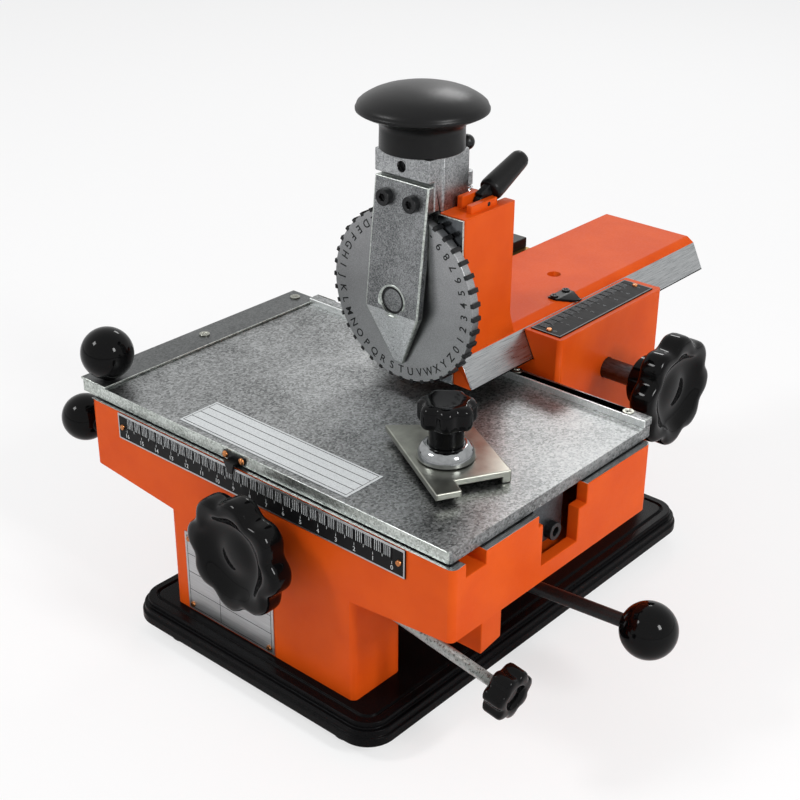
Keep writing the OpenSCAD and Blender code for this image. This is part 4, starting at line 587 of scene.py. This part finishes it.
# Handwheels: eight round lobes, a round dish in the face and a dome in its middle
handwheel = {
    "hubEnd": -19.6, "hubTop": -13,
    "profile": [(5.1, -19.6), (11.3, -19.6), (12, -18.9), (12, -12.9), (12.7, -12.1), (22, -12),
                (24.4, -11.8), (26, -11.1), (26.9, -9.8), (27.2, -8), (27.2, -4), (26.95, -2.3),
                (26.2, -1), (25, -0.25), (23.6, 0), (21.6, -0.02), (20.2, -0.25), (19, -0.8),
                (17.8, -1.75), (16.3, -2.9), (14.6, -3.85), (12.8, -4.5), (11, -4.75), (9.2, -4.7),
                (7.4, -4.4), (5.6, -4.05), (3.8, -3.8), (2, -3.65), (0.06, -3.6)],
    "lobes": {"from": 15, "to": 24.5, "phase": -5.6, "count": 8, "power": 1.5, "depth": 0.115},
    "around": 144,
}


def makeHandwheel(name, node, place, turn, hubEnd):
    longer = hubEnd - handwheel["hubEnd"]
    profile = [(radius, height if height > handwheel["hubTop"] else height + longer)
               for radius, height in handwheel["profile"]]
    obj = turnedShape(profile, handwheel["around"])
    pressLobes(obj, handwheel["lobes"])
    smooth(obj)
    stand(obj, place, turn)
    finishPiece(obj, name, bodyOf[node], finishes["phenolicGloss"], (node,))


makeHandwheel("front_wheel", "front_handwheel", spot(7.5, -22.9, 79.5), (90, 0, 0), -19.6)
makeHandwheel("side_wheel", "side_handwheel", spot(92.5, 185, 107), (90, 0, 90), -22.5)
print("stage: handwheels")

# Press knob: a turned mat black mushroom with a drooping rim
pressKnob = {
    "profile": [(18.3, 0), (18.8, 0.5), (18.6, 9), (18.8, 10.6), (19.6, 12), (21.4, 13.3), (24, 14.5),
                (26.6, 15.6), (28.3, 16.5), (28.85, 16.9), (28.9, 17.7), (28.5, 18), (28.4, 18.7),
                (28, 19.7), (26.8, 20.8), (25, 22), (22.5, 23.4), (19.5, 24.6), (16, 25.6),
                (12, 26.45), (8, 26.95), (4, 27.16), (0.06, 27.2)],
    "place": spot(0, 106.2, 223.8),
}
obj = turnedShape(pressKnob["profile"], 128)
smooth(obj, 50)
stand(obj, pressKnob["place"])
finishPiece(obj, "press_knob", "press_head", finishes["matBlack"],
            ("mushroom_knob",))

# Star knobs: seven lobes each, the clamp's on a round shank, the spacing screw's with a dish in its end
starKnob = {
    "clamp": {"profile": [(3.2, 0), (7.1, 0), (7.4, 0.4), (7.4, 8.2), (7.8, 8.8), (10.6, 9.1),
                          (11.8, 9.7), (12.4, 10.8), (12.5, 12.2), (12.5, 16.2), (12.2, 17.5),
                          (11.3, 18.6), (9.8, 19.2), (8, 19.45), (5, 19.5), (0.06, 19.5)],
              "lobes": {"from": 8.2, "to": 11.4, "phase": 0, "count": 7, "power": 1.3, "depth": 0.15}},
    "spacing": {"profile": [(2.6, 0), (8.4, 0), (10, 0.3), (10.9, 1), (11.2, 2), (11.2, 8), (10.9, 9),
                            (10, 9.7), (8.6, 10), (6.6, 10), (5.8, 9.7), (5.4, 9.0), (5.1, 8.1),
                            (3.6, 7.9), (0.06, 7.9)],
                "lobes": {"from": 6.4, "to": 10, "phase": 0, "count": 7, "power": 1.3, "depth": 0.16}},
}
studRadius = 0.003
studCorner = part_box("clamp_stud")[0]
clampMiddle = Vector((studCorner[0] + studRadius, studCorner[1] + studRadius, 0))
knobFoot = Vector((0, 0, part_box("clamp_knob")[0][2]))
obj = turnedShape(starKnob["clamp"]["profile"], 112)
pressLobes(obj, starKnob["clamp"]["lobes"])
smooth(obj)
stand(obj, clampMiddle + knobFoot)
finishPiece(obj, "clamp_star_knob", "work_clamp_knob", finishes["phenolicGloss"],
            ("clamp_knob",))

# Spacing screw: a zinc plated rod with a rolled thread, which slopes down to its knob
spacing = {"end": spot(117.24, 18, 48.47), "tilt": 98.6, "pitchMm": 0.8, "rootMm": 2.15, "crestMm": 2.5,
           "rodFrom": -72.9, "threadFrom": -72.6, "threadLength": 72, "threadTo": -0.3, "rodTo": 5}
obj = turnedShape(starKnob["spacing"]["profile"], 112)
pressLobes(obj, starKnob["spacing"]["lobes"])
smooth(obj)
stand(obj, spacing["end"], (0, spacing["tilt"], 0))
finishPiece(obj, "spacing_star_knob", "spacing_adjuster", finishes["phenolicGloss"],
            ("spacing_knob",))
root, crest, pitch = spacing["rootMm"], spacing["crestMm"], spacing["pitchMm"]
thread = [(root, spacing["rodFrom"])]
for step in range(int(spacing["threadLength"] / pitch)):
    height = spacing["threadFrom"] + step * pitch
    thread += [(root, height), (crest, height + 0.5 * pitch), (crest, height + 0.62 * pitch)]
thread += [(root, spacing["threadTo"]), (root, spacing["rodTo"])]
obj = turnedShape(thread, 24)
smooth(obj, 25)
stand(obj, spacing["end"], (0, spacing["tilt"], 0))
finishPiece(obj, "spacing_thread", "spacing_adjuster", finishes["zincPlate"],
            ("spacing_screw",))
print("stage: knobs and threaded rod")

# Dome washer under the clamp knob, turned and chromed
domeLow, domeHigh = (corner[2] * 1000 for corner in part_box("dome_washer"))
domeWasher = {"bore": 3.4, "seat": 8, "rim": 12.1, "rimHeight": 1.3, "steps": 9}
rimTop = domeLow + domeWasher["rimHeight"]
dome = [(domeWasher["bore"], domeLow), (11.6, domeLow), (12.2, domeLow + 0.6), (domeWasher["rim"], rimTop)]
for step in range(1, domeWasher["steps"]):
    angle = math.radians(step * 90 / domeWasher["steps"])
    dome.append((domeWasher["seat"] + (domeWasher["rim"] - domeWasher["seat"]) * math.cos(angle),
                 rimTop + (domeHigh - rimTop) * math.sin(angle)))
dome += [(domeWasher["seat"], domeHigh), (domeWasher["bore"], domeHigh)]
obj = turnedShape(dome, 96)
smooth(obj, 50)
stand(obj, clampMiddle)
finishPiece(obj, "dome_washer_turned", "work_clamp", finishes["chrome"],
            ("dome_washer",))

# Clamp lever: a tapered handle with a round end between the two ears
lever = {"pin": spot(22.1, 119, 201.2), "angle": 24,
         "profile": [(1.7, 1.2), (1.9, 4.6), (2.1, 6.7), (4.5, 7.2), (5.2, 7.8), (5.45, 9),
                     (5.35, 13), (4.45, 29.3), (4.25, 30.8), (3.6, 32.1), (2.4, 32.8), (0.06, 33)],
         "hubProfile": [(2.1, -1.9), (2.4, -1.6), (2.4, 1.6), (2.1, 1.9)],
         "pinProfile": [(0.9, -5.3), (1, -5.2), (1, 5.2), (0.9, 5.3)],
         "lugAt": (0, 4.6, 0.9), "lugSize": (3.7, 8.4, 6.2), "lugEdge": 0.0008}
obj = turnedShape(lever["profile"], 48)
smooth(obj, 50)
hub = turnedShape(lever["hubProfile"], 32)
smooth(hub)
stand(hub, (0, 0, 0), (0, 90, 0))
deselectAll()
bpy.ops.mesh.primitive_cube_add(size=1, location=mm(*lever["lugAt"]))
lug = bpy.context.object
lug.scale = mm(*lever["lugSize"])
bpy.ops.object.transform_apply(location=True, rotation=True, scale=True)
applyModifier(lug, "BEVEL", {"width": lever["lugEdge"], "segments": 3})
smooth(lug)
pin = turnedShape(lever["pinProfile"], 24)
smooth(pin)
stand(pin, (0, 0, 0), (0, 90, 0))
stand(obj, (0, 0, 0), (-90, 0, 0))
obj = joinAll([obj, hub, lug, pin])
stand(obj, lever["pin"], (lever["angle"], 0, 0))
finishPiece(obj, "clamp_lever_handle", "head_lever", finishes["matBlack"],
            ("clamp_lever",))
print("stage: dome washer and clamp lever")

# Type disc: a plain round face with a stepped hub, a block of type at each of its places, and raised letters
typeDisc = {"back": spot(0, 98.3, 158.4), "count": 40, "blocksAt": 40.3, "blockForward": 2.55,
            "blockMm": (2.1, 5.06, 1.9), "blockEdge": 0.00015, "letterMm": 5.3, "boldMm": 0.07,
            "lettersAt": 35.9, "letterForward": 4.99, "first": 19,
            "letters": "ABCDEFGHIJKLMNOPQRSTUVWXYZ0123456789-+/=",
            "profile": [(6.1, 0.1), (39.7, 0.1), (40.2, 0.5), (40.3, 1.2), (40.3, 4.5), (40.15, 4.85),
                        (39.8, 5.0), (10.2, 5.0), (9.6, 5.2), (9.5, 6.1), (9.2, 6.3), (6.1, 6.3)]}
obj = turnedShape(typeDisc["profile"], 160)
smooth(obj)
stand(obj, typeDisc["back"], (90, 0, 0))
finishPiece(obj, "type_disc_turned", "type_wheel", finishes["satinSteel"],
            ("type_disc",))


def onDisc(place, forward, out):
    # Where a block or letter belongs: at its place round the rim, forward of the back and out from the axle
    return (Matrix.Translation(typeDisc["back"] + Vector(mm(0, -forward, 0)))
            @ Matrix.Rotation(math.radians(place * 360 / typeDisc["count"]), 4, "Y")
            @ Matrix.Translation(mm(0, 0, -out)))


blocks = []
for index in range(typeDisc["count"]):
    bpy.ops.mesh.primitive_cube_add(size=1, location=(0, 0, 0))
    block = bpy.context.object
    block.matrix_world = (onDisc(index, typeDisc["blockForward"], typeDisc["blocksAt"])
                          @ Matrix.Diagonal((*mm(*typeDisc["blockMm"]), 1)))
    blocks.append(block)
obj = joinAll(blocks)
bpy.ops.object.transform_apply(location=True, rotation=True, scale=True)
applyModifier(obj, "BEVEL", {"width": typeDisc["blockEdge"], "segments": 1, "limit_method": "ANGLE"})
finishPiece(obj, "type_piece_blocks", bodyOf["type_pieces"], finishes["blackOxide"],
            ("type_pieces",))
letters = []
for index, letter in enumerate(typeDisc["letters"]):
    part = printed(letter, typeDisc["letterMm"], typeDisc["boldMm"])
    part.matrix_world = (onDisc(typeDisc["first"] - index, typeDisc["letterForward"], typeDisc["lettersAt"])
                         @ Matrix.Rotation(math.radians(90), 4, "X"))
    letters.append(part)
obj = joinAll(letters)
finishPiece(obj, "disc_letters", "type_wheel", finishes["blackOxide"])
print("stage: type disc and its letters")


def marks(line, count, step, direction):
    # One mark after another along a scale: a mark each few millimetres
    applyModifier(line, "ARRAY", {"count": (count - 1) // step + 1, "use_relative_offset": False,
                                  "use_constant_offset": True,
                                  "constant_offset_displace": [v * step / 1000 for v in direction]})
    return line


plateMargin = 0.1  # mm that a print stays inside its plate's edge
printSunk = 0.01  # mm that a print reaches into its plate

# Front scale: a white line for each millimetre, longer ones at 5 and 10, numbered in centimetres
frontScale = {"zero": 78, "face": -0.8, "top": 105.2, "count": 161, "numbers": 17, "numberAt": 95.9,
              "numberMm": 2.9, "border": 0.75, "overTop": 0.36, "lengths": {1: 4.9, 5: 6.3, 10: 7.6},
              "lineMm": 0.22, "raised": 0.06}
low, high = inMachine(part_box("front_scale_plate"))
border, zero, half = frontScale["border"], frontScale["zero"], frontScale["lineMm"] / 2
left, right = low[0] + plateMargin, high[0] - plateMargin
bottom, top = low[2] + border, high[2] - border
front, rear = low[1] - frontScale["raised"], low[1] + printSunk
obj = joinAll([
    bar((left, front, top), (right, rear, high[2] + frontScale["overTop"])),
    bar((left, front, low[2] + plateMargin), (right, rear, bottom)),
    bar((left, front, bottom), (low[0] + border, rear, top)),
    bar((high[0] - border, front, bottom), (right, rear, top)),
])
finishPiece(obj, "front_scale_border", "machine", finishes["anodisedPlate"])
lines = []
for step, length in frontScale["lengths"].items():
    line = bar((zero - half, front, frontScale["top"] - length), (zero + half, rear, frontScale["top"]))
    lines.append(marks(line, frontScale["count"], step, (-1, 0, 0)))
for number in range(frontScale["numbers"]):
    part = printed(str(number), frontScale["numberMm"])
    place = spot(zero - 10 * number, frontScale["face"], frontScale["numberAt"])
    part.matrix_world = Matrix.Translation(place) @ Matrix.Rotation(math.radians(90), 4, "X")
    lines.append(part)
obj = joinAll(lines)
finishPiece(obj, "front_scale_marks", "machine", finishes["whiteInk"])

# Column scale: the same print along the arm's travel, on the column's top
columnScale = {"count": 71, "numbers": 8, "lineMm": 0.28, "numberMm": 3, "raised": 0.06, "border": 0.75,
               "lengths": {1: 4.6, 5: 6, 10: 7.4}, "halfLength": 35, "lineInset": 0.2, "numberAt": 11.2}
low, high = inMachine(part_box("column_scale_plate"))
border, half = columnScale["border"], columnScale["lineMm"] / 2
front, rear = low[1] + plateMargin, high[1] - plateMargin
bottom, top = high[2] - printSunk, high[2] + columnScale["raised"]
obj = joinAll([
    bar((low[0] + plateMargin, front, bottom), (low[0] + border, rear, top)),
    bar((high[0] - border, front, bottom), (high[0] - plateMargin, rear, top)),
    bar((low[0] + border, front, bottom), (high[0] - border, low[1] + border, top)),
    bar((low[0] + border, high[1] - border, bottom), (high[0] - border, rear, top)),
])
finishPiece(obj, "column_scale_border", "machine", finishes["greyInk"])
start = (low[1] + high[1]) / 2 - columnScale["halfLength"]
foot = low[0] + border + columnScale["lineInset"]
lines = []
for step, length in columnScale["lengths"].items():
    line = bar((foot, start - half, bottom), (foot + length, start + half, top))
    lines.append(marks(line, columnScale["count"], step, (0, 1, 0)))
for number in range(columnScale["numbers"]):
    part = printed(str(number), columnScale["numberMm"])
    place = spot(low[0] + columnScale["numberAt"], start + 10 * number, high[2])
    part.matrix_world = Matrix.Translation(place) @ Matrix.Rotation(math.radians(90), 4, "Z")
    lines.append(part)
obj = joinAll(lines)
finishPiece(obj, "column_scale_marks", "machine", finishes["greyInk"])
print("stage: scales")

# Pointer under the table's front edge: a black plate with a blunt tongue over the scale, and two copper domes
pointer = {"x": -13.1, "face": 2.04, "thick": 0.9, "plateHalf": 6.4, "plate": (108.3, 111.5),
           "tongueHalf": 3.1, "tongue": (103.7, 108.9), "tongueDepth": (-1.95, -1.15), "bend": (-1.5, 107.9),
           "tipBelow": 105, "tipOffset": 0.8, "tipShare": 0.45, "edge": 0.0002, "screwX": 5,
           "screwHeight": 109.9,
           "dome": [(1.6, 0), (1.6, 0.25), (1.45, 0.6), (1.1, 0.9), (0.6, 1.05), (0.06, 1.1)]}
x, face, half = pointer["x"], pointer["face"], pointer["tongueHalf"]
foot, head = pointer["tongue"]
tongue = bar((x - half, pointer["tongueDepth"][0], foot), (x + half, pointer["tongueDepth"][1], head))
tipX = spot(x + pointer["tipOffset"], 0, 0).x
for vertex in tongue.data.vertices:
    if vertex.co.z < pointer["tipBelow"] / 1000:
        vertex.co.x = vertex.co.x * pointer["tipShare"] + tipX * (1 - pointer["tipShare"])
obj = joinAll([
    tongue,
    bar((x - half, *pointer["bend"]), (x + half, face, head)),
    bar((x - pointer["plateHalf"], face - pointer["thick"], pointer["plate"][0]),
        (x + pointer["plateHalf"], face, pointer["plate"][1])),
])
applyModifier(obj, "BEVEL", {"width": pointer["edge"], "segments": 2, "limit_method": "ANGLE"})
smooth(obj)
finishPiece(obj, "table_pointer_bent", bodyOf["table_pointer"], finishes["matBlack"],
            ("table_pointer",))
domes = []
for side in (-1, 1):
    part = turnedShape(pointer["dome"], 32)
    smooth(part, 60)
    place = spot(x + side * pointer["screwX"], face - pointer["thick"], pointer["screwHeight"])
    stand(part, place, (90, 0, 0))
    domes.append(part)
obj = joinAll(domes)
finishPiece(obj, "table_pointer_domes", bodyOf["table_pointer_screws"],
            finishes["copperPlate"], ("table_pointer_screws",))
print("stage: table pointer")


def ruledLine(flat, depths, first, last):
    # A line between two points given across and up a plate, which looks up if it is flat and forward if not
    corners = zip((first, last), depths)
    return bar(*[(across, up, depth) if flat else (across, depth, up) for (across, up), depth in corners])


# Bare plates: a ruled border and empty lines where a printed one would have words
ruleRaised = 0.05
ruled = {
    "instruction_plate": {"flat": True, "inset": 1.2, "rows": 5, "rowMm": 0.32, "columns": (0, 1),
                          "columnMm": 0.2},
    "blank_plate": {"flat": False, "inset": 1.5, "rows": 5, "rowMm": 0.24, "columns": (0, 0.38, 1),
                    "columnMm": 0.24},
}
for name, rule in ruled.items():
    low, high = inMachine(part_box(name))
    flat, upAxis = rule["flat"], 1 if rule["flat"] else 2
    depths = (low[1] - ruleRaised, low[1] + printSunk)
    if flat:
        depths = (high[2] - printSunk, high[2] + ruleRaised)
    left, right = low[0] + rule["inset"], high[0] - rule["inset"]
    bottom, top = low[upAxis] + rule["inset"], high[upAxis] - rule["inset"]
    lines = []
    half = rule["rowMm"] / 2
    for row in range(rule["rows"]):
        up = bottom + (top - bottom) * row / (rule["rows"] - 1)
        lines.append(ruledLine(flat, depths, (left, up - half), (right, up + half)))
    half = rule["columnMm"] / 2
    for share in rule["columns"]:
        across = left + (right - left) * share
        lines.append(ruledLine(flat, depths, (across - half, bottom), (across + half, top)))
    obj = joinAll(lines)
    finishPiece(obj, name + "_lines", bodyOf[name], finishes["blackAnodised"])
print("stage: ruled plates")

# Axle: its end lies in the plate's bore, behind a gap whose shade is painted as a black ring below
axle = {"rear": spot(0, 119, 158.4),
        "profile": [(5.6, 0), (6, 0.4), (6, 31.5), (5.85, 31.7), (5.25, 31.72), (5.2, 31.3),
                    (5, 31.2), (4.9, 31.3), (0.06, 31.35)]}
obj = turnedShape(axle["profile"], 64)
smooth(obj)
stand(obj, axle["rear"], (90, 0, 0))
finishPiece(obj, "disc_axle_turned", bodyOf["disc_axle"], finishes["blastedPlate"],
            ("disc_axle",))

# Countersink rings round the set screw's hole and the axle's hole, the axle hole's ring lighter as a painted
# highlight on its chamfer, and a black ring of painted shade in the gap round the axle's end
rings = {
    "set_hole_ring": {"place": spot(0, 92.7, 218.3), "finish": "blastedSteel",
                      "profile": [(3.1, 0.02), (3.05, 0.12), (2.6, 0.12), (2.55, 0.02)]},
    "axle_groove_ring": {"place": spot(0, 87.28, 158.4), "finish": "blackOxide",
                         "profile": [(6.35, 0.02), (6.3, 0.1), (5.3, 0.1), (5.25, 0.02)]},
    "axle_hole_ring": {"place": spot(0, 87.28, 158.4), "finish": "brightZinc",
                       "profile": [(7.2, 0.02), (7.1, 0.1), (6.4, 0.1), (6.35, 0.02)]},
}
for name, ring in rings.items():
    obj = turnedShape(ring["profile"], 64, "NOTHING")
    smooth(obj)
    stand(obj, ring["place"], (90, 0, 0))
    finishPiece(obj, name, "press_head", finishes[ring["finish"]])
print("stage: axle and rings")

# The photo's camera, as worked out from the straight edges in the photo
view = {"azimuth": 41.1522, "elevation": 27.0389, "roll": 0.3495, "distance": 0.655169,
        "target": (0.002788, -0.053916, 0.113889), "lens": 65.6414, "sensor": 36, "clip": 0.01}
azimuth = math.radians(view["azimuth"])
elevation = math.radians(view["elevation"])
back = Vector((math.sin(azimuth) * math.cos(elevation), -math.cos(azimuth) * math.cos(elevation),
               math.sin(elevation)))
level = Vector((math.cos(azimuth), math.sin(azimuth), 0))
up = back.cross(level)
turn = math.radians(view["roll"])
right = level * math.cos(turn) + up * math.sin(turn)
up = back.cross(right)
cameraData = bpy.data.cameras.new("photoCamera")
cameraData.lens = view["lens"]
cameraData.sensor_width = view["sensor"]
cameraData.clip_start = view["clip"]
camera = bpy.data.objects.new("photoCamera", cameraData)
scene.collection.objects.link(camera)
turned = Matrix((right, up, back)).transposed().to_4x4()
turned.translation = Vector(view["target"]) + back * view["distance"]
camera.matrix_world = turned
scene.camera = camera
scene.view_settings.view_transform = "Standard"


def seenShare(tree, share, shown):
    # 0 for the rays that light the object, and the given share for those that show the background
    rays = addNode(tree, "ShaderNodeLightPath").outputs
    seen = rays["Is Camera Ray"]
    for kind in shown:
        seen = addNode(tree, "ShaderNodeMath", {"operation": "MAXIMUM"}, {0: seen, 1: rays[kind]}).outputs[0]
    return addNode(tree, "ShaderNodeMath", {"operation": "MULTIPLY", 1: share}, {0: seen}).outputs[0]


# White paper under the machine, which the camera sees mixed with plain white
paperFloor = {"size": 12, "fibreScale": 60, "grey": (0.93, 0.95), "whiteShare": 0.66}
deselectAll()
bpy.ops.mesh.primitive_plane_add(size=paperFloor["size"], location=(0, 0, 0))
floor = bpy.context.object
floor.name = "studioFloor"
material, tree, place = startMaterial("floorPaper")
fibres = noise(tree, place, paperFloor["fibreScale"], 3)
tone = addNode(tree, "ShaderNodeMapRange", {"To Min": paperFloor["grey"][0], "To Max": paperFloor["grey"][1]},
               {"Value": fibres})
paper = addNode(tree, "ShaderNodeBsdfDiffuse", links={"Color": tone.outputs["Result"]})
white = addNode(tree, "ShaderNodeEmission", {"Color": (1, 1, 1, 1), "Strength": 1})
seen = seenShare(tree, paperFloor["whiteShare"], ["Is Transmission Ray"])
paper = addNode(tree, "ShaderNodeMixShader", links={0: seen, 1: paper.outputs[0], 2: white.outputs[0]})
endMaterial(tree, paper)
floor.data.materials.append(material)

# A grey room lights the machine, while the camera and the reflections see plain white
roomTones = ((0, (0.58, 0.58, 0.59)), (0.75, (0.5, 0.5, 0.51)))
world = bpy.data.worlds.new("studio")
scene.world = world
world.use_nodes = True
tree = world.node_tree
tree.nodes.clear()
direction = addNode(tree, "ShaderNodeTexCoord").outputs["Generated"]
height = addNode(tree, "ShaderNodeSeparateXYZ", links={"Vector": direction}).outputs["Z"]
sky = addNode(tree, "ShaderNodeValToRGB", links={"Fac": height})
for element, (position, colour) in zip(sky.color_ramp.elements, roomTones):
    element.position = position
    element.color = (*colour, 1)
air = addNode(tree, "ShaderNodeBackground", {"Strength": 1}, {"Color": sky.outputs["Color"]})
white = addNode(tree, "ShaderNodeBackground", {"Color": (1, 1, 1, 1), "Strength": 1})
seen = seenShare(tree, 1, ["Is Glossy Ray", "Is Transmission Ray"])
air = addNode(tree, "ShaderNodeMixShader", links={0: seen, 1: air.outputs[0], 2: white.outputs[0]})
addNode(tree, "ShaderNodeOutputWorld", links={"Surface": air.outputs[0]})

# Three soft panels: the key from the left front, one from the right, and a faint one from behind
lamps = {
    "keyPanel": {"at": (-0.75, -1.05, 1.25), "size": (0.36, 0.32), "power": 9.2, "to": (0, -0.02, 0.1)},
    "sidePanel": {"at": (1.25, -0.15, 0.95), "size": (0.26, 0.4), "power": 11, "to": (0, 0, 0.1)},
    "backPanel": {"at": (-0.58, 1.02, 0.92), "size": (0.3, 0.2), "power": 2.4, "to": (0.08, -0.06, 0.11)},
}
for name, lamp in lamps.items():
    light = bpy.data.lights.new(name, "AREA")
    light.shape = "RECTANGLE"
    light.size, light.size_y = lamp["size"]
    light.energy = lamp["power"]
    holder = bpy.data.objects.new(name, light)
    scene.collection.objects.link(holder)
    holder.location = lamp["at"]
    holder.rotation_euler = (Vector(lamp["to"]) - Vector(lamp["at"])).to_track_quat("-Z", "Y").to_euler()
print("stage: camera, floor and lamps")
